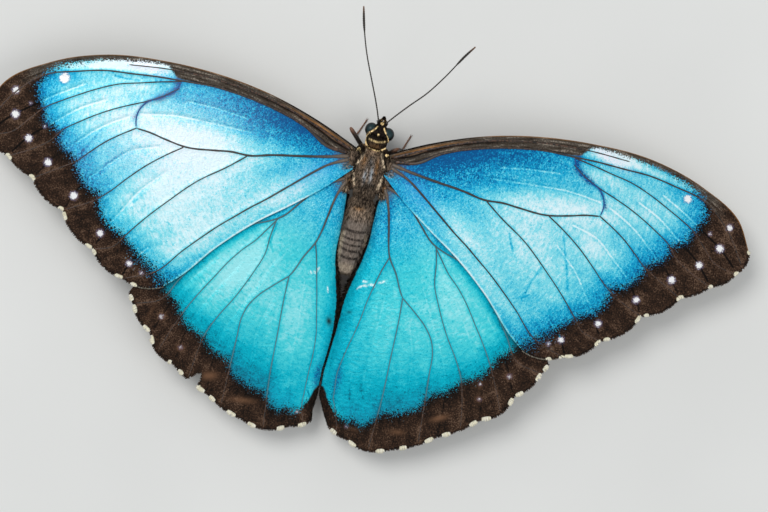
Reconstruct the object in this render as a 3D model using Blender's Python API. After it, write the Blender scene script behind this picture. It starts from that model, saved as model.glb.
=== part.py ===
"""Blue morpho butterfly, life size, resting with its wings spread flat.

Metres.  +X is the butterfly's right, +Y its head, +Z up.  The origin is the middle of the
underside of the whole model's box, which is the level that its feet stand on.
"""
import math

import bmesh
import bpy
import numpy as np

MM = 0.001

# Driving dimensions, in millimetres and degrees.
GAP = 0.1                     # left between neighbouring solids
WING_THICKNESS = 0.5
WING_ROOT_LEVEL = 7.3         # height of the wings' common surface at the midline
ARCH_RISE = 2.2               # how far the wings rise from the body
ARCH_REACH = 12.0             # distance out over which most of that rise happens
TIP_DROOP = 3.0               # fall of the surface at the wing tips
REAR_DROOP = 2.4              # fall of the surface at the rear of the hindwings
WING_REACH = 70.35            # midline to wing tip
HIND_LENGTH = 47.0            # hindwing root to hind margin
WING_SPLIT = 0.4              # forewing above, hindwing below the common surface
INNER_FOLD_WIDTH = 2.2        # strip of the hindwing that turns down beside the abdomen
INNER_FOLD_DROP = 1.5
BODY_YAW = -1.1               # the body's axis against the wings' line of symmetry
BODY_AXIS_X = 0.1             # where the body's axis crosses the wing bases
HEAD_PLACE = (0.42, 4.7, 0.0)
HEAD_TURN = -6.0              # the head's own turn on the thorax

# Forewing, right side, in plan.  The hind corner of each list meets the next list's start.
FORE_HINGE = (4.0, -1.0)
FORE_ROOT = ((2.9, 0.8), (2.9, -3.2))
FORE_FRONT = ((2.9, 0.8), (10.0, 4.05), (20.0, 7.4), (30.0, 9.2), (38.0, 9.7), (50.0, 9.0),
              (60.0, 5.9), (67.5, 1.3), (70.35, -3.8))
FORE_REAR = ((2.9, -3.2), (7.5, -7.3), (13.0, -11.4), (18.5, -15.2), (25.0, -20.8),
             (31.0, -27.2), (33.5, -29.2))
FORE_NOTCHES = ((70.35, -3.8), (68.8, -8.1), (64.7, -11.3), (59.6, -14.3), (53.3, -18.9),
                (47.0, -24.7), (41.0, -28.9), (33.5, -29.2))
FORE_LOBES = (0.7, 0.6, 0.4, 0.95, 1.1, 0.9, 0.9)

# Hindwing, right side, in plan.
HIND_HINGE = (3.5, -5.0)
HIND_ROOT = ((2.9, -3.8), (2.95, -6.6))
HIND_FRONT = ((2.9, -3.8), (12.0, -5.4), (24.0, -12.0), (33.5, -21.5), (38.4, -30.5))
HIND_REAR = ((2.95, -6.6), (3.2, -12.0), (3.0, -18.0), (2.1, -22.0), (0.8, -27.0),
             (0.35, -32.0), (0.4, -40.0), (0.95, -49.3))
HIND_NOTCHES = ((38.4, -30.5), (37.4, -32.3), (33.4, -37.4), (28.4, -42.6), (21.3, -47.2),
                (13.8, -51.0), (4.9, -50.8), (0.95, -49.3))
HIND_LOBES = (0.1, 0.7, 1.2, 0.45, 0.5, 1.25, 0.4)

# How each wing is carried: the turn back in degrees, and the spread of its length, at the
# front and at the rear of its fan.  The left wings are carried further back.
FORE_SWEEP = {"right": (0.0, 0.0), "left": (0.7, 2.7)}
HIND_SWEEP = {"right": (0.0, 0.0), "left": (2.6, -0.7)}
FORE_SPREAD = {"right": (1.0, 1.0), "left": (1.0, 1.0)}
HIND_SPREAD = {"right": (1.01, 1.01), "left": (1.025, 1.0)}
FORE_FAN = (9.0, -40.0)       # directions of the fan's front and rear from its hinge
HIND_FAN = (-39.0, -96.0)
NICK_INTERSPACE = 3           # the torn notch in the left hindwing's margin
NICK_DEPTH = 2.5
NICK_SHARES = (0.0, 0.22, 0.44, 0.56, 0.65, 0.75)
NICK_FLOOR = (0.56, 0.65)     # the shares of that interspace where the tear is deepest
MARGIN_STEPS = 6              # facets along each arc of the outer margin

# Body sections: (y, half width, underside, back), from HEAD_PLACE on prothorax and head.
THORAX_SECTIONS = ((1.2, 1.9, 4.5, 8.4), (-1.0, 2.4, 3.6, 9.2), (-3.6, 2.55, 3.3, 9.45),
                   (-6.0, 2.5, 3.4, 9.2), (-7.5, 2.35, 3.7, 8.7))
ABDOMEN_SECTIONS = ((-7.6, 2.3, 3.8, 8.6), (-10.0, 2.5, 3.6, 8.6), (-13.0, 2.55, 3.5, 8.4),
                    (-16.5, 2.5, 3.6, 8.0), (-19.5, 2.15, 3.9, 7.4), (-22.0, 1.6, 4.3, 6.8))
COLLAR_SECTIONS = ((-3.4, 1.9, 4.6, 8.2), (-2.7, 2.05, 4.5, 8.2), (-1.25, 2.05, 4.7, 8.0))
HEAD_SECTIONS = ((-1.15, 1.9, 4.7, 7.8), (-0.3, 2.1, 4.5, 8.0), (0.7, 2.0, 4.6, 7.9),
                 (1.75, 1.6, 4.9, 7.3))
HEAD_HALF_WIDTH = 1.2         # the head is flat where the eyes sit
EYE_CENTRE = (1.6, 0.15, 6.3)
EYE_RADII = (1.0, 1.0, 1.2)
PALP_PATH = ((0.68, 0.9, 4.1), (0.66, 2.0, 4.5), (0.5, 2.4, 5.5), (0.35, 2.7, 6.6))
PALP_RADII = (0.26, 0.34, 0.32, 0.25)
PROBOSCIS_CENTRE = (0.0, 0.2, 3.05)
PROBOSCIS_RADII = (0.32, 1.05)
PROBOSCIS_TURNS = 1.15

# Feelers and legs: centre lines, in the wings' frame.
ANTENNA_PATHS = {
    "left": ((0.08, 6.15, 7.6), (-0.5, 7.9, 8.6), (-1.33, 10.1, 9.8), (-2.5, 12.9, 11.4),
             (-4.35, 17.5, 14.2), (-5.7, 22.1, 17.0), (-6.3, 24.9, 18.7)),
    "right": ((1.3, 5.95, 7.6), (2.95, 7.8, 8.6), (5.0, 9.95, 10.0), (7.5, 12.4, 12.0),
              (9.95, 15.5, 14.3), (13.3, 20.4, 17.7), (14.35, 21.7, 18.7)),
}
ANTENNA_RADIUS = 0.25
CLUB_RADIUS = 0.32
CLUB_START = 0.78             # share of the antenna's length where its club begins
LEG_PATHS = {
    "foreleg_left": ((-0.2, 1.5, 4.0), (-1.35, 3.3, 3.8), (-0.7, 4.7, 4.1)),
    "foreleg_right": ((1.0, 1.4, 4.0), (2.3, 3.1, 3.8), (1.75, 4.5, 4.1)),
    "midleg_left": ((-1.0, 0.3, 3.2), (-4.8, 4.3, 5.4), (-3.7, 3.3, 0.75), (-3.3, 4.0, 0.24),
                    (-2.2, 6.6, 0.24)),
    "midleg_right": ((1.6, 0.1, 3.2), (4.4, 2.1, 5.2), (5.3, 2.4, 0.75), (5.5, 3.1, 0.24),
                     (6.3, 5.2, 0.24)),
    "hindleg_left": ((-1.7, -5.0, 2.8), (-6.2, -8.4, 5.4), (-8.2, -14.2, 0.75),
                     (-8.5, -15.1, 0.24), (-9.3, -19.6, 0.24)),
    "hindleg_right": ((1.7, -5.0, 2.8), (6.4, -8.2, 5.4), (8.5, -13.8, 0.75),
                      (8.8, -14.7, 0.24), (9.7, -19.2, 0.24)),
}
FEMUR_RADIUS = 0.42
TIBIA_RADIUS = 0.34
TARSUS_RADIUS = 0.29
FORELEG_RADIUS = 0.27
BEND_RADIUS = 0.7             # rounding of a leg's joints

# Facets.
FORE_SPAN_STEPS = 9           # wing root to margin
HIND_SPAN_STEPS = 8
BODY_SIDES = 16
TUBE_RESOLUTION = 1           # of a round bar's section: six sides


def spline(points, shares):
    """Points at the given shares of the way along a smooth curve through some points."""
    knots = np.array(points, float)
    steps = np.linalg.norm(np.diff(knots, axis=0), axis=1)
    reach = np.concatenate([[0.0], np.cumsum(steps)])
    slopes = np.gradient(knots, reach, axis=0)
    along = np.clip(np.array(shares, float), 0.0, 1.0) * reach[-1]
    left = np.clip(np.searchsorted(reach, along, side="right") - 1, 0, len(steps) - 1)
    width = steps[left][:, None]
    t = (along[:, None] - reach[left][:, None]) / width
    return ((1 + 2 * t) * (1 - t) ** 2 * knots[left] + t * (1 - t) ** 2 * width * slopes[left]
            + t * t * (3 - 2 * t) * knots[left + 1]
            + t * t * (t - 1) * width * slopes[left + 1])


def scalloped(notches, lobes, nicked):
    """Outer margin: a shallow outward arc between each two notches, one of them torn."""
    points = []
    for index, bulge in enumerate(lobes):
        start, end = np.array(notches[index]), np.array(notches[index + 1])
        side = end - start
        outward = np.array((-side[1], side[0])) / np.linalg.norm(side)
        torn = nicked and index == NICK_INTERSPACE
        for share in NICK_SHARES if torn else np.arange(MARGIN_STEPS) / MARGIN_STEPS:
            depth = bulge * 4 * share * (1 - share)
            if torn and share in NICK_FLOOR:
                depth -= NICK_DEPTH
            points.append(start + share * side + depth * outward)
    points.append(np.array(notches[-1]))
    return np.array(points)


def wing_height(across, along):
    """Height of the wings' common surface: an arch from the body that droops to the edges."""
    out = abs(across)
    behind = max(0.0, -along - 5.0)
    return (WING_ROOT_LEVEL + ARCH_RISE * (1 - math.exp(-out / ARCH_REACH))
            - TIP_DROOP * (out / WING_REACH) ** 2 - REAR_DROOP * (behind / HIND_LENGTH) ** 2)


def carried(point, side, hinge, fan, sweep, spread):
    """A plan point as one wing carries it: turned and spread about the wing's hinge."""
    across, along = point[0] - hinge[0], point[1] - hinge[1]
    direction = math.degrees(math.atan2(along, across))
    share = min(1.0, max(0.0, (fan[0] - direction) / (fan[0] - fan[1])))
    angle = math.radians(direction - np.interp(share, (0.0, 1.0), sweep[side]))
    length = math.hypot(across, along) * np.interp(share, (0.0, 1.0), spread[side])
    outward = 1.0 if side == "right" else -1.0
    return (outward * (hinge[0] + length * math.cos(angle)),
            hinge[1] + length * math.sin(angle))


def wing_plan(front, rear, root, notches, lobes, nicked, span_steps):
    """Rows of plan points that fill a wing between its four edges."""
    margin = scalloped(notches, lobes, nicked)
    steps = np.linalg.norm(np.diff(margin, axis=0), axis=1)
    down = np.concatenate([[0.0], np.cumsum(steps)]) / steps.sum()
    out = np.sin(np.linspace(0.0, 0.5 * math.pi, span_steps + 1)) ** 1.1
    front_edge, rear_edge = spline(front, out), spline(rear, out)
    base = spline(root, down)
    rows = []
    for i, s in enumerate(out):
        ruled = (1 - down)[:, None] * front_edge[i] + down[:, None] * rear_edge[i]
        ends = (1 - s) * base + s * margin
        corners = ((1 - s) * ((1 - down)[:, None] * base[0] + down[:, None] * base[-1])
                   + s * ((1 - down)[:, None] * margin[0] + down[:, None] * margin[-1]))
        rows.append(ruled + ends - corners)
    return rows


def paint(obj, name, colour, roughness):
    """Give an object its own material."""
    material = bpy.data.materials.new(name)
    material.use_nodes = True
    shader = material.node_tree.nodes["Principled BSDF"]
    shader.inputs["Base Color"].default_value = (*colour, 1.0)
    shader.inputs["Roughness"].default_value = roughness
    obj.data.materials.append(material)


def add_part(name, mesh, parent, colour, roughness):
    """Make a mesh into a named part of the model."""
    obj = bpy.data.objects.new(name, mesh)
    bpy.context.collection.objects.link(obj)
    obj.parent = parent
    paint(obj, name, colour, roughness)
    return obj


def finished(bm, name):
    """Turn a working mesh, in millimetres, into a smooth-shaded one in metres."""
    bmesh.ops.scale(bm, vec=(MM, MM, MM), verts=bm.verts)
    bmesh.ops.recalc_face_normals(bm, faces=bm.faces)
    mesh = bpy.data.meshes.new(name)
    bm.to_mesh(mesh)
    bm.free()
    mesh.shade_smooth()
    return mesh


def make_wing(name, plan, carriage, level, fold, colour, parent):
    """A wing: a grid laid over its plan on the arched surface, then thickened."""
    rows, columns = len(plan) - 1, len(plan[0]) - 1
    bm = bmesh.new()
    bmesh.ops.create_grid(bm, x_segments=rows, y_segments=columns, size=0.5)
    for vert in bm.verts:
        i = round((vert.co.x + 0.5) * rows)
        j = round((vert.co.y + 0.5) * columns)
        inner = np.linalg.norm(plan[i][j] - plan[i][-1])
        turn_down = fold * max(0.0, 1.0 - inner / INNER_FOLD_WIDTH) ** 2
        across, along = carried(plan[i][j], *carriage)
        vert.co = across, along, wing_height(across, along) + level - turn_down
    mesh = finished(bm, name)
    wing = add_part(name, mesh, parent, colour, 0.45)
    thicken = wing.modifiers.new("thickness", "SOLIDIFY")
    thicken.thickness = WING_THICKNESS * MM
    thicken.offset = 0.0


def make_wings(parent):
    """The four wings."""
    for side in ("left", "right"):
        fore_plan = wing_plan(FORE_FRONT, FORE_REAR, FORE_ROOT, FORE_NOTCHES, FORE_LOBES,
                              False, FORE_SPAN_STEPS)
        hind_plan = wing_plan(HIND_FRONT, HIND_REAR, HIND_ROOT, HIND_NOTCHES, HIND_LOBES,
                              side == "left", HIND_SPAN_STEPS)
        fore_carriage = side, FORE_HINGE, FORE_FAN, FORE_SWEEP, FORE_SPREAD
        hind_carriage = side, HIND_HINGE, HIND_FAN, HIND_SWEEP, HIND_SPREAD
        make_wing(f"forewing_{side}", fore_plan, fore_carriage, WING_SPLIT, 0.0,
                  (0.05, 0.35, 0.65), parent)
        make_wing(f"hindwing_{side}", hind_plan, hind_carriage, -WING_SPLIT, INNER_FOLD_DROP,
                  (0.05, 0.50, 0.62), parent)


def barrel(sections, rings, squareness, bluntness):
    """Closed round body along Y, from sections of (y, half width, underside, back)."""
    bm = bmesh.new()
    bmesh.ops.create_uvsphere(bm, u_segments=BODY_SIDES, v_segments=rings, radius=1.0)
    for vert in bm.verts:
        polar = math.acos(max(-1.0, min(1.0, vert.co.z)))
        share = (1 - math.cos(polar)) / 2
        y, half_width, underside, back = spline(sections, [share])[0]
        ring = math.hypot(vert.co.x, vert.co.y)
        if ring < 1e-6:
            vert.co = 0.0, y, (underside + back) / 2
            continue
        fullness = math.sin(polar) ** bluntness
        side, up = vert.co.x / ring, vert.co.y / ring
        squared = (abs(side) ** squareness + abs(up) ** squareness) ** (-1 / squareness)
        vert.co = (half_width * fullness * squared * side, y,
                   (underside + back) / 2 + (back - underside) / 2 * fullness * squared * up)
    return bm


def cut_flat(bm, across, keep_outer):
    """Cut a mesh with an upright plane at x = across and close the cut."""
    normal = (-1.0, 0.0, 0.0) if keep_outer else (1.0, 0.0, 0.0)
    geometry = list(bm.verts) + list(bm.edges) + list(bm.faces)
    cut = bmesh.ops.bisect_plane(bm, geom=geometry, plane_co=(across, 0.0, 0.0),
                                 plane_no=normal, clear_outer=True)
    rim = [item for item in cut["geom_cut"] if isinstance(item, bmesh.types.BMEdge)]
    bmesh.ops.contextual_create(bm, geom=rim)


def make_body(parent, head_parent):
    """Thorax, abdomen, the prothorax that collars the head, head and eyes."""
    thorax = finished(barrel(THORAX_SECTIONS, 12, 2.3, 0.42), "thorax")
    add_part("thorax", thorax, parent, (0.20, 0.14, 0.10), 0.7)
    abdomen = finished(barrel(ABDOMEN_SECTIONS, 14, 2.1, 0.32), "abdomen")
    add_part("abdomen", abdomen, parent, (0.16, 0.12, 0.10), 0.7)
    collar = finished(barrel(COLLAR_SECTIONS, 8, 2.2, 0.35), "prothorax")
    add_part("prothorax", collar, head_parent, (0.06, 0.04, 0.03), 0.7)

    head = barrel(HEAD_SECTIONS, 10, 2.2, 0.5)
    for vert in head.verts:
        vert.co.x = max(-HEAD_HALF_WIDTH, min(HEAD_HALF_WIDTH, vert.co.x))
    bmesh.ops.remove_doubles(head, verts=head.verts, dist=0.001)
    add_part("head", finished(head, "head"), head_parent, (0.05, 0.03, 0.02), 0.6)

    for side, sign in (("left", -1), ("right", 1)):
        eye = bmesh.new()
        bmesh.ops.create_uvsphere(eye, u_segments=12, v_segments=8, radius=1.0)
        bmesh.ops.scale(eye, vec=EYE_RADII, verts=eye.verts)
        bmesh.ops.translate(eye, vec=EYE_CENTRE, verts=eye.verts)
        cut_flat(eye, HEAD_HALF_WIDTH + GAP, True)
        bmesh.ops.scale(eye, vec=(sign, 1.0, 1.0), verts=eye.verts)
        add_part(f"eye_{side}", finished(eye, f"eye_{side}"), head_parent,
                 (0.02, 0.05, 0.05), 0.15)


def make_bar(name, path, radii, parent, colour):
    """A round bar of changing thickness along a path, flattened where it meets the floor."""
    curve = bpy.data.curves.new(name, "CURVE")
    curve.dimensions = "3D"
    curve.twist_mode = "Z_UP"
    curve.bevel_depth = MM
    curve.bevel_resolution = TUBE_RESOLUTION
    curve.use_fill_caps = True
    line = curve.splines.new("POLY")
    line.points.add(len(path) - 1)
    for point, position, radius in zip(line.points, path, radii):
        point.co = (*(np.array(position) * MM), 1.0)
        point.radius = radius
    guide = bpy.data.objects.new(name, curve)
    bpy.context.collection.objects.link(guide)
    bpy.context.view_layer.update()
    evaluated = guide.evaluated_get(bpy.context.evaluated_depsgraph_get())
    mesh = bpy.data.meshes.new_from_object(evaluated)
    bpy.data.objects.remove(guide)
    bpy.data.curves.remove(curve)
    bm = bmesh.new()
    bm.from_mesh(mesh)
    bmesh.ops.remove_doubles(bm, verts=bm.verts, dist=0.001 * MM)
    for vert in bm.verts:
        vert.co.z = max(0.0, vert.co.z)
    bmesh.ops.recalc_face_normals(bm, faces=bm.faces)
    bm.to_mesh(mesh)
    bm.free()
    mesh.name = name
    mesh.shade_smooth()
    mesh.materials.clear()
    return add_part(name, mesh, parent, colour, 0.6)


def rounded(path, radius):
    """A leg's centre line with its joints rounded off."""
    points = [np.array(point, float) for point in path]
    line = [points[0]]
    for before, joint, after in zip(points, points[1:], points[2:]):
        into, away = before - joint, after - joint
        into_length, away_length = np.linalg.norm(into), np.linalg.norm(away)
        start = joint + into / into_length * min(radius, 0.45 * into_length)
        end = joint + away / away_length * min(radius, 0.45 * away_length)
        line.extend((start, 0.25 * start + 0.5 * joint + 0.25 * end, end))
    line.append(points[-1])
    return line


def make_legs(parent):
    """Two small folded forelegs, and the four legs that the butterfly stands on."""
    for name, path in LEG_PATHS.items():
        line = rounded(path, BEND_RADIUS)
        if name.startswith("foreleg"):
            radii = [FORELEG_RADIUS] * len(line)
        else:
            radii = ([FEMUR_RADIUS] * 3 + [TIBIA_RADIUS] * 3
                     + [TARSUS_RADIUS] * (len(line) - 6))
        make_bar(name, line, radii, parent, (0.08, 0.04, 0.03))


def make_feelers(parent, head_parent):
    """Antennae, palps and the coiled proboscis."""
    shares = np.linspace(0.0, 1.0, 15)
    for side, path in ANTENNA_PATHS.items():
        club = np.clip((shares - CLUB_START) / (1 - CLUB_START), 0.0, 1.0)
        radii = ANTENNA_RADIUS + (CLUB_RADIUS - ANTENNA_RADIUS) * np.sin(math.pi * club ** 0.8)
        make_bar(f"antenna_{side}", spline(path, shares), radii, parent, (0.02, 0.02, 0.02))
    for side, sign in (("left", -1), ("right", 1)):
        mirrored = [(sign * x, y, z) for x, y, z in PALP_PATH]
        shares = np.linspace(0.0, 1.0, 7)
        radii = np.interp(shares, np.linspace(0.0, 1.0, len(PALP_RADII)), PALP_RADII)
        make_bar(f"palp_{side}", spline(mirrored, shares), radii, head_parent,
                 (0.35, 0.25, 0.18))
    coil = []
    steps = 16
    for step in range(steps + 1):
        turn = 2 * math.pi * PROBOSCIS_TURNS * step / steps
        reach = np.interp(step, (0, steps), PROBOSCIS_RADII)
        x, y, z = PROBOSCIS_CENTRE
        coil.append((x, y + reach * math.cos(turn), z + reach * math.sin(turn)))
    make_bar("proboscis", coil, [ANTENNA_RADIUS] * len(coil), head_parent, (0.10, 0.05, 0.03))


def add_frame(name, parent, location, yaw):
    """An empty that carries parts, at a place in millimetres."""
    frame = bpy.data.objects.new(name, None)
    bpy.context.collection.objects.link(frame)
    frame.parent = parent
    frame.location = [value * MM for value in location]
    frame.rotation_euler = 0.0, 0.0, math.radians(yaw)
    return frame


def stand_at_origin(root):
    """Move the model so that the origin is the middle of the underside of its box."""
    bpy.context.view_layer.update()
    graph = bpy.context.evaluated_depsgraph_get()
    corners = []
    for obj in bpy.context.scene.objects:
        if obj.type == "MESH":
            seen = obj.evaluated_get(graph)
            corners.extend(seen.matrix_world @ vert.co for vert in seen.data.vertices)
    cloud = np.array(corners)
    low, high = cloud.min(axis=0), cloud.max(axis=0)
    root.location = -(low[0] + high[0]) / 2, -(low[1] + high[1]) / 2, -low[2]


def main():
    for obj in list(bpy.data.objects):
        bpy.data.objects.remove(obj, do_unlink=True)
    root = add_frame("butterfly", None, (0.0, 0.0, 0.0), 0.0)
    body = add_frame("body_axis", root, (BODY_AXIS_X, 0.0, 0.0), BODY_YAW)
    head = add_frame("head_axis", body, HEAD_PLACE, HEAD_TURN)
    make_wings(root)
    make_body(body, head)
    make_legs(root)
    make_feelers(root, head)
    stand_at_origin(root)


main()
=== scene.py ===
"""Blue morpho butterfly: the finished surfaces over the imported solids.

Lengths inside the script are millimetres in the wings' own frame: x runs out along the right
wing from the midline, y towards the head, z up from the floor.  Each finished mesh is moved
to the model's frame and turned to metres by to_model().
"""
import functools
import math

import bmesh
import bpy
import numpy as np
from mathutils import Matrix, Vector


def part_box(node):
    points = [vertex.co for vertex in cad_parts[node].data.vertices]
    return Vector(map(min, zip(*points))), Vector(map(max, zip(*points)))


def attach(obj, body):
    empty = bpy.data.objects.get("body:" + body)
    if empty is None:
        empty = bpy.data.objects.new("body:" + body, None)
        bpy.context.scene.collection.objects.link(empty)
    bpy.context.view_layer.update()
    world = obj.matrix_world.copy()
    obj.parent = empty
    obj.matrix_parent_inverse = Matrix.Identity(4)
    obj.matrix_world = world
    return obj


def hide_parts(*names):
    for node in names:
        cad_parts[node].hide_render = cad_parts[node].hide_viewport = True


bl_info = {
    "name": "Blue Morpho Butterfly",
    "version": (1, 0, 0),
    "blender": (4, 5, 0),
    "location": "View3D > Sidebar > Morpho",
    "description": "Builds the scaled wings, haired body, eyes, feelers and legs of a blue morpho",
    "category": "Object",
}

MM = 0.001
UPWARD = np.array((0.0, 0.0, 1.0))
SIGN = {"right": 1.0, "left": -1.0}      # which way x runs out from the midline
VIEW_CENTRE = np.array((5.77, -17.4))    # middle of the view, in the wings' frame
VIEW_TURN = 11.3                         # turn of the view about the vertical, degrees
FLOOR_SIZE = 2.4
# Studio lights: name, place in metres, diameter, share of the key light's power.
LIGHTS = (("key_light", (-0.35, 0.3, 0.75), 0.5, 1), ("fill_light", (0.55, -0.2, 0.6), 0.6, 0.45))
WORLD_COLOUR = (0.9, 0.95, 1.0, 1.0)
WORLD_LIGHT = 0.52
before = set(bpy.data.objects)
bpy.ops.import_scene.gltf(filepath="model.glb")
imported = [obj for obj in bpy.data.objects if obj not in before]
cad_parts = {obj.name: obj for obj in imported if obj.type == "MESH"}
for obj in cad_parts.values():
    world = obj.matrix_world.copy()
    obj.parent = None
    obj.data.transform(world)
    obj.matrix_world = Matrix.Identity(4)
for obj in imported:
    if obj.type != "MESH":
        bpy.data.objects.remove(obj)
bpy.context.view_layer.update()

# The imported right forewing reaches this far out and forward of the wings' origin.
FORE_REACH_OUT = 70.479
FORE_REACH_FORWARD = 9.642
FORE_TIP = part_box("forewing_right")[1]
WING_ORIGIN = np.array((FORE_TIP.x / MM - FORE_REACH_OUT,
                        FORE_TIP.y / MM - FORE_REACH_FORWARD, 0.0))

# Frames of the body and of the head in the wings' frame: origin and turn in degrees.
BODY_FRAME = (0.1, 0.0, -1.1)
HEAD_FRAME = (0.61, 4.691, -7.1)

# ---------------- wing shapes, as the solids
WING_ROOT_LEVEL = 7.3
ARCH_RISE = 2.2
ARCH_REACH = 12.0
TIP_DROOP = 3.0
REAR_DROOP = 2.4
WING_REACH = 70.35
HIND_LENGTH = 47.0
INNER_FOLD_WIDTH = 2.2
INNER_FOLD_DROP = 0.8
# How far a hindwing's inner edge hugs the abdomen, at distances back from the head.
HUG = {
    "right": ((6.6, 0), (9, 0.45), (12, 0.7), (15, 0.75), (18, 1), (21, 0.95), (25, 0.75), (29, 0.4),
        (33, 0.4), (37, 0.8), (40, 1.2), (44.5, 1.3), (47.3, 0.15), (49.7, -1)),
    "left": ((6.6, 0), (9, 0.35), (12, 0.65), (15, 0.65), (18, 0.35), (21, 0.1), (25, 0), (33, 0),
        (40, -0.45), (44.5, -0.25), (47.3, -0.4), (49.7, 0)),
}
MEMBRANE = 0.1               # thickness of the visible wing
NICK_INTERSPACE = 3
NICK_DEPTH = 2.5
NICK_SHARES = (0.44, 0.56, 0.65, 0.75)
VEIN_LAP = 0.35               # how far a branch vein starts inside the vein it leaves
VEIN_SLIMNESS = 0.76
CROSS_VEIN = 9                # the forewing vein that closes the cell
MARGIN_STEPS = 24             # grid columns along each lobe of the outer margin
# How far the membrane rises to its veins and dips in its creases, and over what width.
VEIN_RISE, VEIN_SPREAD = 0.05, 0.45
FOLD_DIP, FOLD_SPREAD = 0.07, 0.38
RELIEF_RANGE = (-0.08, 0.06)

WINGS = {
    "fore": {
        "hinge": (4, -1), "fan": (9, -40), "level": 0.22, "fold": 0, "rows": 240,
        "sweep": {"right": (0, 0), "left": (0.7, 2.7)}, "spread": {"right": (1, 1), "left": (1, 1)},
        "root": ((2.9, 0.8), (2.9, -3.2)),
        "front": ((2.9, 0.8), (10, 4.05), (20, 7.4), (30, 9.2), (38, 9.7), (50, 9), (60, 5.9),
            (67.5, 1.3), (70.35, -3.8)),
        "rear": ((2.9, -3.2), (7.5, -7.3), (13, -11.4), (18.5, -15.2), (25, -20.8), (31, -27.2),
            (33.5, -29.2)),
        "notches": ((70.35, -3.8), (68.8, -8.1), (64.7, -11.3), (59.6, -14.3), (53.3, -18.9),
            (47, -24.7), (41, -28.9), (33.5, -29.2)),
        "lobes": (0.7, 0.6, 0.4, 0.95, 1.1, 0.9, 0.9),
    },
    "hind": {
        "hinge": (3.5, -5), "fan": (-39, -96), "level": -0.22, "fold": INNER_FOLD_DROP, "rows": 180,
        "sweep": {"right": (0, 0), "left": (2.6, -0.7)},
        "spread": {"right": (1.01, 1.01), "left": (1.025, 1)}, "root": ((2.9, -3.8), (2.95, -6.6)),
        "front": ((2.9, -3.8), (12, -5.4), (24, -12), (33.5, -21.5), (38.4, -30.5)),
        "rear": ((2.95, -6.6), (3.2, -12), (3, -18), (2.1, -22), (0.8, -27), (0.35, -32), (0.4, -40),
            (0.95, -49.3)),
        "notches": ((38.4, -30.5), (37.4, -32.3), (33.4, -37.4), (28.4, -42.6), (21.3, -47.2),
            (13.8, -51), (4.9, -50.8), (0.95, -49.3)),
        "lobes": (0.1, 0.7, 1.2, 0.45, 0.5, 1.25, 0.4),
    },
}

# Veins: half width at the root and at the end, then the line, on the right wing.
VEINS = {
    "fore": (
        (0.28, 0.2, ((4, -1), (8, -1.8), (12.5, -2.5), (17.5, -3.2), (21.5, -4), (25, -3.9), (28, -4.2),
            (33, -4.5), (37, -3.8), (40, -3.1), (42.5, -2.8))),
        (0.3, 0.16, ((4.5, -0.4), (8, 0), (12.5, 2.7), (20, 5.2), (25, 6.2), (30, 6.8), (35.7, 6.75),
            (40, 6.7), (45, 6.4), (50, 6.1), (55, 5.1), (60, 3.8), (62.5, 2.3), (65.5, -0.5),
            (69.5, -6.5))),
        (0.26, 0.14, ((4, 0.3), (10, 3), (20, 6.5), (30, 8.1), (38, 8.4), (46, 7.9))),
        (0.17, 0.13, ((36, 6.6), (40, 5.8), (43, 5.1), (47, 4.2), (51, 2.6), (54, 1.1), (57, -0.5),
            (59.5, -2), (62, -4.5), (64.5, -7), (68.7, -8.3))),
        (0.17, 0.13, ((36.3, 5.2), (38.5, 3.6), (41, 2.3), (44.5, 0.9), (47.5, -0.4), (50, -1.7),
            (53, -3.5), (55.5, -5.2), (57.5, -7.5), (60, -9.2), (64.6, -11.4))),
        (0.17, 0.13, ((42.5, -2.8), (45, -4.3), (47.5, -6), (50, -8.2), (52.3, -10.3), (54.5, -11.6),
            (59.5, -14.4))),
        (0.17, 0.13, ((33.5, -4.6), (36, -6.2), (40, -9.2), (43, -12), (45.5, -14.5), (48, -16.4),
            (53.2, -19))),
        (0.17, 0.13, ((22, -4.2), (25, -6.5), (30, -9.9), (35, -14.5), (38, -17.5), (41.5, -21.5),
            (43.2, -23.6), (46.9, -24.8))),
        (0.24, 0.13, ((4, -1.6), (7.5, -3.2), (10, -5), (12.5, -7), (15, -9), (17.5, -11), (20, -12.8),
            (22.5, -14.8), (25, -16.8), (28, -19.5), (31, -22.4), (35, -26.6), (40.9, -29))),
        (0.16, 0.16, ((36, 6.5), (36.6, 5), (39, 3.2), (41.5, 1.9), (42.6, 0.2), (42.8, -1.2),
            (42.5, -2.8))),
    ),
    "hind": (
        (0.24, 0.16, ((3.6, -5.6), (5, -8.4), (5.9, -12), (6.4, -15), (7, -17.3), (8.5, -20),
            (10, -23.2), (10.5, -24))),
        (0.17, 0.12, ((10.5, -24), (13, -26), (15.5, -28.3), (17, -30.5), (17.7, -33), (17.8, -36),
            (18, -41), (18.3, -48.9))),
        (0.16, 0.12, ((10.5, -24), (10.6, -28), (10.5, -34), (10.4, -42), (9.7, -51.8))),
        (0.14, 0.1, ((7, -17.3), (6.2, -20), (5.5, -23), (4.8, -26), (4, -30), (3.2, -34), (2.8, -38),
            (3, -46), (2.4, -50))),
        (0.2, 0.14, ((3.8, -5), (6.4, -6.2), (9, -8.3), (11, -10.5), (13.8, -13.4), (16.5, -14.7),
            (19, -15.5), (25, -20.5), (30, -27), (32.5, -31), (37.2, -32.4))),
        (0.14, 0.12, ((14.2, -13.6), (16, -16), (17.5, -18), (20, -20.5), (22, -23), (24, -26),
            (26, -29), (28, -32.4), (29.5, -35.5), (31.6, -40.6))),
        (0.13, 0.12, ((14.6, -14), (15.2, -17), (15.6, -20.5), (17, -24), (19.5, -29), (22, -33),
            (23.5, -36), (24.5, -40), (25.2, -44.9))),
    ),
}

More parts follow.
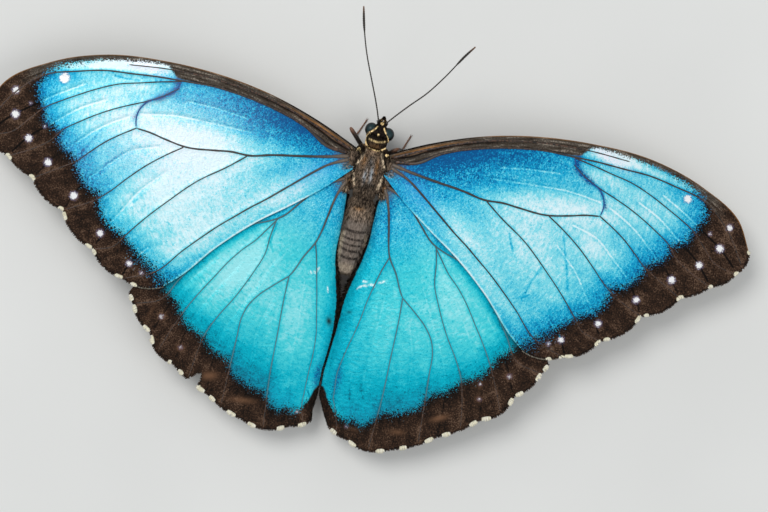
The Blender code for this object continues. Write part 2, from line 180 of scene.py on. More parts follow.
# Creases down the middle of the spaces between the veins.
FOLDS = {
    "fore": (
        ((38, -5.3), (43, -7), (46, -9.6), (50, -13.4), (51.9, -16.3), (52.9, -18.2)),
        ((44, -1), (47, -2.6), (50, -4.6), (52.4, -6.8), (54.8, -9), (57.5, -11.5), (59, -13.6)),
        ((49, 1), (53, -1), (57, -4), (61.9, -7.9), (64, -10.4)),
        ((53, 3.2), (58, 0.4), (62, -2.2), (65, -4.2), (68, -7)),
        ((36, -9.5), (40.5, -14), (42.5, -17), (44.8, -20.4), (46.4, -23.6)),
        ((37.2, -22.8), (38.8, -24.7), (40, -26), (41, -28.2)),
        ((22, 0), (30, 0.35), (36, 0.5), (42, -0.3)),
        ((23, 2.2), (28, 2.9), (34, 3.3)),
    ),
    "hind": (
        ((13, -20), (15.4, -25), (18, -30), (20.3, -35), (21.4, -41), (21.4, -46.8)),
        ((20, -23), (22.5, -27), (25.5, -32), (27.4, -37), (28.3, -42.2)),
        ((24, -22), (28, -27), (31, -32), (33, -36.6)),
        ((12.5, -28), (14.2, -34), (14.4, -42), (13.8, -50.4)),
        ((7.5, -24), (7, -32), (6.6, -42), (5.2, -50.2)),
    ),
}

# The blue field's edge on the right wing, from the root round the front to the rear edge.
BLUE_EDGE = {
    "fore": ((3.4, -1), (7, -0.5), (8, 0), (10, 1.3), (12.5, 2.6), (15, 3.6), (20, 5.2), (25, 6.2),
        (30, 6.8), (35.5, 6.9), (37, 7.2), (38.6, 8.9), (40, 9.15), (43, 8.95), (47, 8.45), (50, 8),
        (53, 7.3), (56, 6.4), (58, 5.5), (60, 4), (61.2, 1.6), (61, 0.2), (60.3, -0.9), (59.3, -2.5),
        (58.8, -4.2), (57, -5), (55.8, -5.8), (55.9, -7), (54.8, -8.4), (53.4, -9.2), (52.3, -9.8),
        (51.8, -11.4), (50.4, -13.4), (48.5, -14.7), (46.9, -14.9), (46.9, -16.5), (46, -18.8),
        (44.4, -20.3), (42, -21.2), (40, -23), (38, -24.5), (36.5, -25.5), (34.8, -26.8), (33.6, -28),
        (31.5, -28.4), (27, -27), (15, -20), (2, -5)),
    "hind": ((2, -5.5), (3.2, -5.6), (12, -3), (26, -10), (36, -24), (32.6, -28.2), (30.5, -30),
        (29, -31), (28.5, -32.5), (27, -34.7), (25, -35.8), (23.8, -36.3), (22.5, -37.8), (21, -39),
        (19, -39.8), (18, -40.5), (17.5, -42), (16.5, -43), (15, -43.7), (13, -44.5), (11, -44.8),
        (10.3, -45.4), (9, -47), (7.5, -47.8), (6, -46.9), (5, -47.6), (3.5, -47), (2.3, -45.5),
        (1.7, -43.5), (0.9, -42.4), (-1, -42), (-1, -30), (0.1, -25), (1.8, -18), (2.3, -10)),
}
LEFT_HIND_EDGE_SHIFT = 0.4    # the left hindwing's blue ends a little further out

# White marks in the dark border: (x, y, radius), per side with x outwards.
SPOTS = {
    ("fore", "right"): ((57.5, 3.4, 0.62), (66, -0.2, 0.44), (65, -4.2, 0.58), (61.9, -7.9, 0.52),
        (57.5, -11.5, 0.56), (51.9, -16.3, 0.48), (46, -21.8, 0.46), (40, -26, 0.42),
        (37.9, -27.1, 0.18), (62.7, -2, 0.12)),
    ("fore", "left"): ((57, 2.8, 0.85), (65.3, -1, 0.52), (64.5, -5.3, 0.62), (61.3, -9.1, 0.54),
        (57, -12.7, 0.58), (51.2, -17.7, 0.6), (45.2, -23.4, 0.5), (39, -27.7, 0.42), (36.5, -29, 0.16),
        (62.2, -2.8, 0.08), (58.8, -6.5, 0.1)),
    ("hind", "right"): ((32.2, -34.3, 0.26), (27.3, -36.7, 0.1), (27.7, -39.4, 0.16), (5.1, -49, 0.1)),
    ("hind", "left"): ((31.5, -36, 0.26), (27, -40.8, 0.18), (4.2, -48.2, 0.1)),
}
# Cream marks of the fringe: (x, y, half length).
CREAM = {
    ("fore", "right"): ((70.3, -3.9, 0.45), (68.7, -8.1, 0.5), (64.7, -11.2, 0.5), (59.6, -14.3, 0.75),
        (52.9, -19.4, 0.8), (54.4, -18.7, 0.5), (46.3, -25.2, 0.7), (48, -24.5, 0.6), (42, -28.8, 0.8),
        (40.6, -29, 0.5), (38.5, -29.6, 0.5)),
    ("fore", "left"): ((69.6, -4.9, 0.4), (67.9, -9.5, 0.4), (63.9, -12.7, 0.7), (58.9, -15.7, 0.7),
        (53, -20.3, 0.6), (51.7, -21.2, 0.8), (46.6, -26, 0.7), (45.7, -26.8, 0.6), (40.4, -30.6, 0.8),
        (37.4, -31.4, 0.6)),
    ("hind", "right"): ((37.7, -31.2, 0.62), (36.8, -33.2, 0.75), (34.4, -36.6, 0.75),
        (32.7, -38.4, 0.75), (29.5, -42, 0.85), (27.1, -43.2, 0.8), (23, -46.4, 0.8), (20, -47.8, 0.85),
        (15.9, -50.6, 0.7), (11.8, -51.4, 0.75), (7.1, -51.5, 0.8), (3, -50.4, 0.7)),
    ("hind", "left"): ((37, -33.4, 0.6), (36.1, -35.3, 0.75), (33.7, -38.6, 0.75), (31.8, -40.3, 0.8),
        (28.4, -43.3, 0.35), (25.8, -45, 0.55), (22, -47.7, 0.85), (19.6, -48.4, 0.7),
        (15.7, -50.4, 0.9), (11.4, -51.3, 0.75), (6.4, -51.9, 0.75), (2.3, -51.2, 0.8)),
}
# Pools of lighter (+) or deeper (-) blue, partly the scales' own colour and partly painted sheen and
# glare where the wing catches the light, strongest on the left forewing: (x, y, half length, half
# width, turn, amount).
BLUE_AND_SHEEN_POOLS = {
    ("fore", "right"): ((37, -2.4, 11, 2.8, 2, 0.34), (31, -11, 13, 6.5, -42, 0.3),
        (24, -17.5, 13, 3, -42, 0.24), (52, 1, 10, 6, -20, 0.24), (51, 7.3, 6, 1.3, -12, -0.16),
        (37, -7, 17, 9, 0, 0.1), (43, 8.2, 4.4, 1.1, -4, 0.8), (51, 6.8, 5.5, 0.8, -12, 0.3),
        (15, 3.8, 12, 3, 14, -0.42), (28, 5.6, 8, 1.5, 4, -0.16), (19, -0.6, 10, 2.4, 4, -0.26),
        (15, -5, 6, 1.8, -20, -0.14), (19, -9.8, 6, 2.2, -40, 0.2), (41, 4.4, 4, 1.5, -8, 0.26),
        (43, -9, 6, 3.2, -35, 0.26)),
    ("fore", "left"): ((35, -3.4, 12, 4, 3, 0.42), (33, -13, 16, 8.5, -42, 0.5),
        (27, -20, 13, 3, -42, 0.3), (50, 0, 10, 7, -20, 0.32), (43, 8, 5.6, 1.2, -6, 0.8),
        (51, 6.4, 6, 0.9, -14, 0.4), (12, -5, 9, 9, 0, 0.09), (14, 3.6, 12, 2.8, 14, -0.3),
        (27, 5.6, 8, 1.5, 2, -0.08), (21, 0.4, 10, 2.8, 4, -0.28), (15, -5.4, 5, 1.6, -25, -0.14),
        (14, -10.2, 6, 2.4, -38, 0.26), (43.5, 4.2, 4.5, 1.3, -6, 0.22)),
    ("hind", "right"): ((15, -27, 8, 9, 60, 0.22), (20, -22, 13, 3.5, -48, 0.22),
        (8, -30, 9, 2.6, 88, 0.08), (8, -12, 8, 4, -60, -0.1), (9, -42, 8, 4, 0, -0.16),
        (17, -37, 6, 3, 30, -0.04), (1, -28, 18, 1.6, 88, -0.2)),
    ("hind", "left"): ((16, -27, 9, 8, 60, 0.28), (20, -24, 12, 4, -50, 0.26),
        (7, -32, 12, 3.6, 88, 0.22), (8, -11, 7, 4, -60, -0.04), (11, -42, 8, 3, -10, -0.18),
        (17, -37, 5, 3, 30, -0.08), (1.5, -28, 14, 1.4, 88, -0.16)),
}
# Violet and dusky stains of the blue, as the pools.
STAINS = {
    "fore": {"violet": (9, -4.6, 6, 2, -40, 0.6), "dusk": (14, 3.2, 12, 2.6, 15, 0.8)},
    "hind": {"smear": (1.9, -41, 2.4, 0.7, 90, 0.7), "dusk": (4, -6.5, 2.5, 1.6, -60, 0.9)},
}
# The dark bar over the forewing's cross vein: lines, each with its half width and strength.
CELL_BAR = ((((36.6, 6.9), (36.7, 5), (38, 3.9), (39.4, 3)), 0.6, 1),
            (((39.4, 3), (41.6, 1.9), (42.7, 0.1), (43.2, -1.2)), 0.3, 0.8))
# Where the grey strip along the forewing's front edge begins.
COSTAL_LINE = ((4, -1), (7, -0.5), (8, 0), (10, 1.3), (12.5, 2.6), (15, 3.6), (20, 5.2), (25, 6.2),
    (30, 6.8), (36, 6.95), (45, 8.6), (50, 8), (55, 6.9), (60, 4.2), (66, 0))
LIGHT_BASE = {"fore": 0.51, "hind": 0.58}
REAR_EDGE_GLINT = 0.34        # how much a painted highlight lightens the forewing's rear edge
REAR_EDGE_SHADE = 0.36        # how much painted shadow deepens the hindwing beside it
FRINGE_GLINT = 0.24            # how pale the forewing's worn rear corner is
# how much a painted highlight lightens the fringe at the forewing's rear corner
EDGE_DEPTH = {
    ("fore", "right"): 0.24, ("fore", "left"): 0.22,
    ("hind", "right"): 0.26, ("hind", "left"): 0.3,
}
# Rubbed streaks that show deeper scales, and pale scuffs, per side with x outwards.
SCRATCHES = {
    ("fore", "right"): (((32, -19), (32.7, -16.5), (33.9, -14)), ((36.7, -7.5), (37.6, -10.5),
        (38.4, -13), (39.4, -17)), ((27, -9), (28.3, -12)), ((31.5, -20), (32.6, -19.2))),
    ("fore", "left"): (((43.6, 4.9), (46, 4.8), (48, 5)), ((48.6, -5), (50.2, -8), (51.6, -10.2)),
        ((44, -8.6), (46.6, -11), (47.4, -13)), ((38.6, -14.8), (40.4, -16.6))),
    ("hind", "right"): (((15, -17), (15.6, -20), (15.9, -21.4)), ((6.2, -41), (7, -43.5)),
        ((4.2, -41.5), (4.6, -44))),
    ("hind", "left"): (((14.2, -15.5), (14.8, -19), (13.9, -20.6)), ((3, -44), (2.2, -45.6))),
}
SCUFFS = {
    ("hind", "right"): (((2.2, -24), (3.2, -23.4), (4.9, -22.9)), ((3, -22.6), (5.2, -23.1)),
        ((5.8, -22.2), (7.2, -21.9))),
    ("hind", "left"): (((6.9, -22.9), (5.7, -22.7), (5.3, -21.8)), ((3.1, -24.9), (2.9, -25.8))),
}
# Whitish patches and a painted glare over the left forewing's middle, and dark blots beside the inner
# edges, as the pools.
PALE_PATCHES_AND_GLARE = {
    ("fore", "left"): ((36, -5, 11, 7, -10, 0.5), (42.7, 7.5, 3.4, 0.9, 3, 1.3)),
    ("fore", "right"): ((42.2, 7.9, 3.4, 0.9, -18, 1.3),),
}
BLOTS = {
    ("hind", "left"): ((1.7, -30.9, 0.75, 0.5, 70, 1),),
    ("hind", "right"): ((1.6, -28.6, 0.5, 0.3, 10, 0.7),),
}
# Brown smudges in the border of the hindwings, as the pools.
SMUDGES = {
    ("hind", "right"): ((32, -34.2, 0.7, 0.5, 0, 0.5), (27.4, -36.9, 0.4, 0.9, 0, 0.5),
        (27.6, -39.4, 0.6, 0.5, 0, 0.6), (21.3, -44.2, 1.5, 0.5, 25, 0.9),
        (14.3, -48.2, 1.3, 0.5, 10, 0.6), (6.4, -49.3, 1.4, 0.4, 0, 0.3)),
    ("hind", "left"): ((31.4, -35.8, 0.7, 0.6, 0, 0.5), (27, -40.9, 0.8, 0.5, -20, 0.7),
        (21, -44.8, 1.5, 0.7, -15, 0.9), (14.3, -48, 2.2, 0.5, -5, 0.7), (4.4, -48.1, 1.2, 0.4, 0, 0.4),
        (33.5, -35.5, 0.3, 1.5, 20, 0.3)),
}
# Ringed eyespots of the underside: (x, y, radius).
OCELLI = {
    "fore": ((53.5, 1.2, 1.5), (51.5, -4.3, 2), (47.5, -10, 2.3), (41, -17.2, 2.1)),
    "hind": ((24.8, -22.8, 2.9), (24.4, -32, 1.6), (19, -36.5, 2.2), (14, -39.5, 2)),
}


# ---------------- curves and fields
def unit(vectors):
    """Vectors of length one."""
    return vectors / np.maximum(np.linalg.norm(vectors, axis=1), 1e-9)[:, None]


def run_length(points):
    """Distance along a broken line to each of its points."""
    steps = np.linalg.norm(np.diff(points, axis=0), axis=1)
    return np.concatenate([[0.0], np.cumsum(steps)])


def spline(points, shares):
    """Points at the given shares of the way along a smooth curve through some points."""
    knots = np.array(points, float)
    reach = run_length(knots)
    slopes = np.gradient(knots, reach, axis=0)
    along = np.clip(np.array(shares, float), 0.0, 1.0) * reach[-1]
    left = np.clip(np.searchsorted(reach, along, side="right") - 1, 0, len(knots) - 2)
    width = np.diff(reach)[left][:, None]
    t = (along - reach[left])[:, None] / width
    return ((1 + 2 * t) * (1 - t) ** 2 * knots[left] + t * (1 - t) ** 2 * width * slopes[left]
            + t * t * (3 - 2 * t) * knots[left + 1]
            + t * t * (t - 1) * width * slopes[left + 1])


def smooth_line(points, step=1.0):
    """A smooth curve through some points, sampled about every step."""
    length = run_length(points)[-1]
    return spline(points, np.linspace(0.0, 1.0, max(3, int(length / step) + 1)))


def distance_to(line, x, y):
    """Distance from places to a broken line."""
    least = np.full(np.shape(x), 1e6)
    for (start_x, start_y), (end_x, end_y) in zip(line[:-1], line[1:]):
        run_x, run_y = end_x - start_x, end_y - start_y
        share = ((x - start_x) * run_x + (y - start_y) * run_y) / (run_x ** 2 + run_y ** 2)
        share = np.clip(share, 0.0, 1.0)
        away = (x - start_x - share * run_x) ** 2 + (y - start_y - share * run_y) ** 2
        least = np.minimum(least, away)
    return np.sqrt(least)


def nearest(lines, x, y, far=5.0):
    """Distance from places to the nearest of some lines, at most far."""
    least = np.full(np.shape(x), far)
    for line in lines:
        least = np.minimum(least, distance_to(line, x, y))
    return least


def nearest_round(marks, x, y, far=5.0):
    """Distance from places to the rim of the nearest round mark (x, y, radius), at most far."""
    least = np.full(np.shape(x), far)
    for mark_x, mark_y, radius in marks:
        least = np.minimum(least, np.hypot(x - mark_x, y - mark_y) - radius)
    return least


def inside(line, x, y):
    """Whether places lie within a closed broken line."""
    within = np.zeros(np.shape(x), bool)
    for (start_x, start_y), (end_x, end_y) in zip(line, np.roll(line, -1, axis=0)):
        if start_y == end_y:
            continue
        crosses = (start_y > y) != (end_y > y)
        at = start_x + (y - start_y) * (end_x - start_x) / (end_y - start_y)
        within ^= crosses & (x < at)
    return within


def depth_in(line, x, y):
    """Distance into a closed line, negative outside it."""
    closed = np.vstack([line, line[:1]])
    return np.where(inside(line, x, y), 1.0, -1.0) * distance_to(closed, x, y)


def soft(value, low, high):
    """0 below low, 1 above high and smooth between."""
    t = np.clip((value - low) / (high - low), 0.0, 1.0)
    return t * t * (3 - 2 * t)


def pool(x, y, mark):
    """A soft-edged oval: its amount in its middle, fading over its half length and half width."""
    centre_x, centre_y, length, width, turn, amount = mark
    along, across = seen_from(x, y, (centre_x, centre_y, turn))
    return amount * np.exp(-(along / length) ** 2 - (across / width) ** 2)


def pools(marks, x, y, base=0.0):
    """Some soft-edged ovals added up over a base."""
    total = np.full(np.shape(x), base)
    for mark in marks:
        total += pool(x, y, mark)
    return total


def placed(points, base):
    """Points of a turned frame in the wings' frame."""
    origin_x, origin_y, turn = base
    angle = math.radians(turn)
    points = np.array(points, float)
    x, y = points[:, 0].copy(), points[:, 1].copy()
    points[:, 0] = origin_x + x * math.cos(angle) - y * math.sin(angle)
    points[:, 1] = origin_y + x * math.sin(angle) + y * math.cos(angle)
    return points


def seen_from(x, y, base):
    """Places of the wings' frame in a turned frame."""
    origin_x, origin_y, turn = base
    angle = math.radians(turn)
    return ((x - origin_x) * math.cos(angle) + (y - origin_y) * math.sin(angle),
            (y - origin_y) * math.cos(angle) - (x - origin_x) * math.sin(angle))


# ---------------- wing surfaces
def scalloped(notches, lobes, torn):
    """Outer margin: a shallow outward arc between each two notches, one of them torn."""
    points = []
    shares = np.arange(MARGIN_STEPS) / MARGIN_STEPS
    for index, bulge in enumerate(lobes):
        start, end = np.array(notches[index]), np.array(notches[index + 1])
        side = end - start
        outward = np.array((-side[1], side[0])) / np.linalg.norm(side)
        depth = bulge * 4 * shares * (1 - shares)
        if torn and index == NICK_INTERSPACE:
            depth = depth - NICK_DEPTH * np.interp(shares, NICK_SHARES, (0, 1, 1, 0))
        points.append(start + shares[:, None] * side + depth[:, None] * outward)
    points.append(np.array(notches[-1:]))
    return np.vstack(points)


def wing_height(x, y):
    """Height of the wings' common surface: an arch from the body that droops to the edges."""
    out = np.abs(x)
    behind = np.maximum(0.0, -y - 5.0)
    return (WING_ROOT_LEVEL + ARCH_RISE * (1 - np.exp(-out / ARCH_REACH))
            - TIP_DROOP * (out / WING_REACH) ** 2 - REAR_DROOP * (behind / HIND_LENGTH) ** 2)


def carried(x, y, kind, side):
    """Where one wing carries plan places: turned and spread about its hinge, x outwards."""
    shape = WINGS[kind]
    across, along = x - shape["hinge"][0], y - shape["hinge"][1]
    direction = np.degrees(np.arctan2(along, across))
    front, rear = shape["fan"]
    share = np.clip((front - direction) / (front - rear), 0.0, 1.0)
    angle = np.radians(direction - np.interp(share, (0, 1), shape["sweep"][side]))
    length = np.hypot(across, along) * np.interp(share, (0, 1), shape["spread"][side])
    out_x = shape["hinge"][0] + length * np.cos(angle)
    out_y = shape["hinge"][1] + length * np.sin(angle)
    if kind == "hind":
        out_x = out_x - np.interp(-out_y, *np.transpose(HUG[side])) * (1 - soft(out_x, 2.5, 9))
    return out_x, out_y


def wing_plan(kind, side):
    """Plan places that fill a wing between its four edges: rows from the root to the margin."""
    shape = WINGS[kind]
    torn = (kind, side) == ("hind", "left")
    margin = scalloped(shape["notches"], shape["lobes"], torn)
    down = run_length(margin)
    down /= down[-1]
    out = np.sin(np.linspace(0.0, 0.5 * math.pi, shape["rows"] + 1)) ** 1.1
    front_edge, rear_edge = spline(shape["front"], out), spline(shape["rear"], out)
    base = spline(shape["root"], down)
    s, d = out[:, None, None], down[None, :, None]
    ruled = (1 - d) * front_edge[:, None] + d * rear_edge[:, None]
    ends = (1 - s) * base + s * margin
    corners = ((1 - s) * ((1 - d) * base[0] + d * base[-1])
               + s * ((1 - d) * margin[0] + d * margin[-1]))
    return ruled + ends - corners


VEIN_LINES = {kind: [smooth_line(line) for _, _, line in VEINS[kind]] for kind in WINGS}
FOLD_LINES = {kind: [smooth_line(line) for line in FOLDS[kind]] for kind in WINGS}


def relief(kind, x, y):
    """Small heights of the membrane at plan places: raised along veins, creased between."""
    rise = 0.0 * x
    for lines, height, spread in (
            (VEIN_LINES, VEIN_RISE, VEIN_SPREAD), (FOLD_LINES, -FOLD_DIP, FOLD_SPREAD)):
        for line in lines[kind]:
            rise += height * np.exp(-(distance_to(line, x, y) / spread) ** 2)
    return np.clip(rise, *RELIEF_RANGE)


def on_wing(kind, side, x, y, extra):
    """Plan places carried to their side of the body, so far above the wing's even level."""
    out_x, out_y = carried(x, y, kind, side)
    height = wing_height(out_x, out_y) + WINGS[kind]["level"] + extra
    return np.column_stack([SIGN[side] * out_x, out_y, height])


def inner_drop(kind, inner):
    """How far a wing folds down, at distances from its inner edge."""
    return WINGS[kind]["fold"] * np.maximum(0.0, 1.0 - inner / INNER_FOLD_WIDTH) ** 2


def blue_depth(kind, side, x, y):
    """Distance into the blue field at plan places, negative in the border."""
    shift = LEFT_HIND_EDGE_SHIFT if (kind, side) == ("hind", "left") else 0.0
    return depth_in(BLUE_EDGE[kind], x, y) + shift


def fringe_marks(kind, side, margin):
    """The cream marks of a wing's fringe, each moved onto the wing's margin."""
    rim = np.column_stack(carried(*margin.T, kind, side))
    return [(*rim[np.argmin(np.hypot(*(rim - mark[:2]).T))], mark[2])
            for mark in np.array(CREAM[kind, side])]


def wing_fields(kind, side, x, y, plan):
    """The measures that a wing's scales are coloured by, at plan places x, y."""
    wing, hinge = (kind, side), WINGS[kind]["hinge"]
    out_x, out_y = carried(x, y, kind, side)
    blue = blue_depth(kind, side, x, y)
    reach = np.hypot(x - hinge[0], y - hinge[1])
    bordering = (1 - soft(blue, 0.3, 5)) * (1 - soft(y, 3, 6)) * soft(x, 2.5, 6)
    # The light measure: the blue's lightness with painted sheen and glare, made deeper along the
    # border.
    light = pools(BLUE_AND_SHEEN_POOLS[wing], out_x, out_y, LIGHT_BASE[kind]) - EDGE_DEPTH[wing] * bordering
    # The forewing's rear edge gets a painted highlight, and the hindwing beside it a painted shadow.
    rear = smooth_line(WINGS["fore"]["rear"])
    overlap = distance_to(np.column_stack(carried(*rear.T, "fore", side)), out_x, out_y)
    if kind == "fore":
        light += REAR_EDGE_GLINT * (1 - soft(overlap, 0.1, 0.45)) * soft(x, 6, 12)
    else:
        light -= REAR_EDGE_SHADE * (1 - soft(overlap, 0.1, 1.4)) * soft(out_x, 11, 16)
    fields = {
        "blue": blue, "reach": reach, "light": np.clip(light, 0.0, 1.1),
        "turn": np.arctan2(y - hinge[1], x - hinge[0]) * 40.0,
        "vein": nearest(VEIN_LINES[kind], x, y), "fold": nearest(FOLD_LINES[kind], x, y),
        "spot": nearest_round(SPOTS[wing], out_x, out_y),
        "cream": nearest_round(fringe_marks(kind, side, plan[-1]), out_x, out_y),
        "margin": nearest([plan[-1]], x, y, 10.0),
        "scratch": 1 - soft(nearest(SCRATCHES[wing], out_x, out_y), 0.06, 0.24),
        "scuff": 1 - soft(nearest(SCUFFS.get(wing, ()), out_x, out_y), 0.03, 0.2),
        "bloom": pools(PALE_PATCHES_AND_GLARE.get(wing, ()), out_x, out_y),
        "smudge": pools(SMUDGES.get(wing, ()), out_x, out_y),
        "dust": 1 - soft(reach, 0.8, 3.4),
        "ocellus": np.minimum(3.0, np.min([np.hypot(x - spot_x, y - spot_y) / radius
                                           for spot_x, spot_y, radius in OCELLI[kind]], axis=0)),
    }
    for key, mark in STAINS[kind].items():
        fields[key] = pool(out_x, out_y, mark)
    if kind == "hind":
        fields["green"] = soft(0.3 * x - y, 12, 24)
        fields["fray"] = soft(x, 1.6, 3)
        fields["violet"] = 0.12 * bordering * soft(-y, 36, 44)
        # Painted shadow beside the forewing's rear edge over the border, and painted shade along the
        # inner edge by the abdomen; the dark blots join them.
        shadow = (1 - soft(overlap, 0.15, 1)) * (1 - soft(blue, -0.4, 0.6))
        gutter = (1 - soft(distance_to(plan[::4, -1], x, y), 0.08, 0.26)) * (1 - soft(-y, 20, 22))
        blots = pools(BLOTS[wing], out_x, out_y) + shadow
        fields["gutter"] = np.clip(np.maximum(gutter, blots), 0, 1)
        return fields
    above = y - np.interp(x, *np.transpose(COSTAL_LINE))
    front = distance_to(smooth_line(WINGS[kind]["front"]), x, y)
    middle = 0.5 * above / np.maximum(above + front, 0.1)
    smear = sum(amount * np.exp(-(distance_to(smooth_line(line), x, y) / width) ** 2)
                for line, width, amount in CELL_BAR)
    fray = soft(x + 0.25 * np.abs(y - 8), 34, 44) + soft(-y, 24, 26)
    fields.update({
        "green": 0.16 * soft(-y, 4, 20),
        "costal": soft(above, -0.3, 0.1) * (1 - soft(x, 60, 66)),
        "front": np.minimum(front, 8.0),
        "crack": (np.exp(-((middle * 2 - 0.5) / 0.1) ** 2) * (1 - soft(x, 16, 30))
                  + np.exp(-(above / 0.22) ** 2) * (1 - soft(x, 34, 36.5))),
        "copper": (np.exp(-((front - 0.85) / 0.36) ** 2) * (1 - soft(x, 9, 20)) * soft(x, 3, 5)
                   + 0.7 * (1 - soft(front, 0.06, 0.2)) * soft(x, 14, 24)),
        "fray": fray * (1 - 0.65 * soft(y, 5, 7.5)),
        "smear": np.clip(smear, 0, 1),
        "rim": ((1 - soft(distance_to(plan[::4, 0], x, y), 0.18, 0.34))
                * (1 - soft(x, 12, 22))),
    })
    return fields


def to_model(places):
    """Places in the wings' frame as metres in the model's frame."""
    return (np.asarray(places, float) + WING_ORIGIN) * MM


def add_piece(name, mesh, materials, slot, *stands_for):
    """Put a finished mesh in the scene: riding on the body, and hiding the nodes it shows. slot is not
    used.
    """
    obj = bpy.data.objects.new(name, mesh)
    bpy.context.scene.collection.objects.link(obj)
    mesh.name = name
    for material in materials:
        mesh.materials.append(material)
    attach(obj, "root")
    if stands_for:
        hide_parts(*stands_for)


def read(items, key, width=1, kind=float):
    """Values of a mesh's items: an array, with a row for each item if they are wide."""
    values = np.empty(len(items) * width, kind)
    items.foreach_get(key, values)
    return values.reshape(-1, width) if width > 1 else values


def corners_of(mesh):
    """The vertex at each face corner, and each face's first corner and number of corners."""
    count = read(mesh.polygons, "loop_total", kind=int)
    return read(mesh.loops, "vertex_index", kind=int), np.cumsum(count) - count, count


def to_mesh(bm, name="piece"):
    """Turn a working mesh into a lasting one."""
    mesh = bpy.data.meshes.new(name)
    bm.to_mesh(mesh)
    bm.free()
    return mesh


def write_fields(mesh, fields):
    """Store measures on a mesh's vertices, for its material to read."""
    for name, values in fields.items():
        stored = mesh.attributes.new(name, "FLOAT", "POINT")
        stored.data.foreach_set("value", np.full(len(mesh.vertices), values, np.float32))


def write_map(mesh, uv):
    """Store a mesh's unwrap, and shade it smooth."""
    mesh.uv_layers.new(name="OFBake").data.foreach_set("uv", uv.ravel())
    mesh.shade_smooth()
    mesh.update()


def closed_sheet(rows, columns):
    """A thin closed sheet over a grid, and each vertex's row, column and whether it is on top."""
    bm = bmesh.new()
    bmesh.ops.create_grid(bm, x_segments=rows, y_segments=columns, size=0.5)
    bmesh.ops.solidify(bm, geom=bm.faces[:], thickness=0.5)
    bmesh.ops.recalc_face_normals(bm, faces=bm.faces)
    mesh = to_mesh(bm)
    flat = read(mesh.vertices, "co", 3)
    row, column = np.rint((flat[:, :2] + 0.5) * (rows, columns)).astype(int).T
    return mesh, row, column, flat[:, 2] > flat[:, 2].mean()


def make_wing(kind, side, upper, under):
    """A wing's membrane: the scaled upper side and the patterned underside, closed at the rim."""
    plan = wing_plan(kind, side)
    mesh, row, column, top = closed_sheet(plan.shape[0] - 1, plan.shape[1] - 1)
    place = plan[row, column]
    x, y = place.T
    inner = np.linalg.norm(place - plan[row, -1], axis=1)
    extra = relief(kind, x, y) - inner_drop(kind, inner) + np.where(top, 0.5, -0.5) * MEMBRANE
    mesh.vertices.foreach_set("co", to_model(on_wing(kind, side, x, y, extra)).ravel())
    if side == "left":
        mesh.flip_normals()
    write_fields(mesh, wing_fields(kind, side, x, y, plan))

    corner, first, count = corners_of(mesh)
    below = np.add.reduceat(top[corner].astype(int), first) == 0
    mesh.polygons.foreach_set("material_index", below.astype(np.int32))
    low, high = plan.reshape(-1, 2).min(axis=0), plan.reshape(-1, 2).max(axis=0)
    uv = (0.01 + 0.98 * (place - low) / (high - low))[corner] * (1.0, 0.49)
    uv[:, 1] += np.where(np.repeat(below, count), 0.005, 0.505)
    write_map(mesh, uv)
    name = f"{kind}wing_{side}"
    add_piece(f"{name}_membrane", mesh, [upper, under], f"{kind}wing_scales", name)


def roll_bar(bm, path, radii, marks, sides=10, flatness=1.0):
    """Add a closed round bar to a mesh: a grid rolled about a path, drawn to a point at each end.

    marks gives measures along the path that are stored on its vertices.
    """
    count = len(path)
    radii = np.array(radii, float) * np.ones(count)
    radii[0] = radii[-1] = 0.0
    along = unit(np.gradient(path, axis=0))
    side = np.cross(along[0], UPWARD)
    if np.linalg.norm(side) < 0.1:
        side = np.cross(along[0], (0.0, 1.0, 0.0))
    known = bm.verts.layers.float
    layers = [(known.get(name) or known.new(name), np.broadcast_to(values, count))
              for name, values in marks.items()]
    rings = []
    for tangent in along:
        side = side - side.dot(tangent) * tangent
        side /= np.linalg.norm(side)
        rings.append((side, np.cross(side, tangent)))
    grid = bmesh.ops.create_grid(bm, x_segments=count - 1, y_segments=sides, size=0.5)
    for vert in grid["verts"]:
        i = round((vert.co.x + 0.5) * (count - 1))
        angle = 2 * math.pi * round((vert.co.y + 0.5) * sides) / sides
        across, up = rings[i]
        vert.co = path[i] + radii[i] * (math.cos(angle) * across + flatness * math.sin(angle) * up)
        for layer, values in layers:
            vert[layer] = values[i]
    bmesh.ops.remove_doubles(bm, verts=grid["verts"], dist=1e-5)


def finished(bm):
    """A smooth-shaded mesh in the model's frame, with its faces pointing out."""
    bmesh.ops.recalc_face_normals(bm, faces=bm.faces)
    mesh = to_mesh(bm)
    mesh.vertices.foreach_set("co", to_model(read(mesh.vertices, "co", 3)).ravel())
    mesh.shade_smooth()
    mesh.update()
    return mesh


def make_veins(kind, side, material):
    """The tubes that stiffen a wing, half sunk in its membrane."""
    bm = bmesh.new()
    hinge = WINGS[kind]["hinge"]
    for index, (root, tip, line) in enumerate(VEINS[kind]):
        first, second = np.array(line[:2], float)
        start = first - (second - first) * VEIN_LAP / math.dist(first, second)
        x, y = smooth_line((start, *line), 0.5).T
        reach = np.hypot(x - hinge[0], y - hinge[1])
        radius = (root + (tip - root) * np.linspace(0.0, 1.0, len(x)) ** 0.5) * VEIN_SLIMNESS
        radius += 0.1 * np.exp(-(reach / 3.0) ** 2) + 0.05 * np.exp(-(reach / 16.0) ** 2)
        radius *= 1 + 0.1 * np.sin(x * 2.1 + index) * np.sin(y * 1.3)
        extra = relief(kind, x, y) + 0.5 * MEMBRANE - 0.01
        roll_bar(bm, on_wing(kind, side, x, y, extra), radius,
                 {"blue": blue_depth(kind, side, x, y), "reach": reach,
                  "cross": float(kind == "fore" and index == CROSS_VEIN)}, 8, 0.8)
    add_piece(f"{kind}wing_{side}_veins", finished(bm), [material], f"{kind}wing_scales")


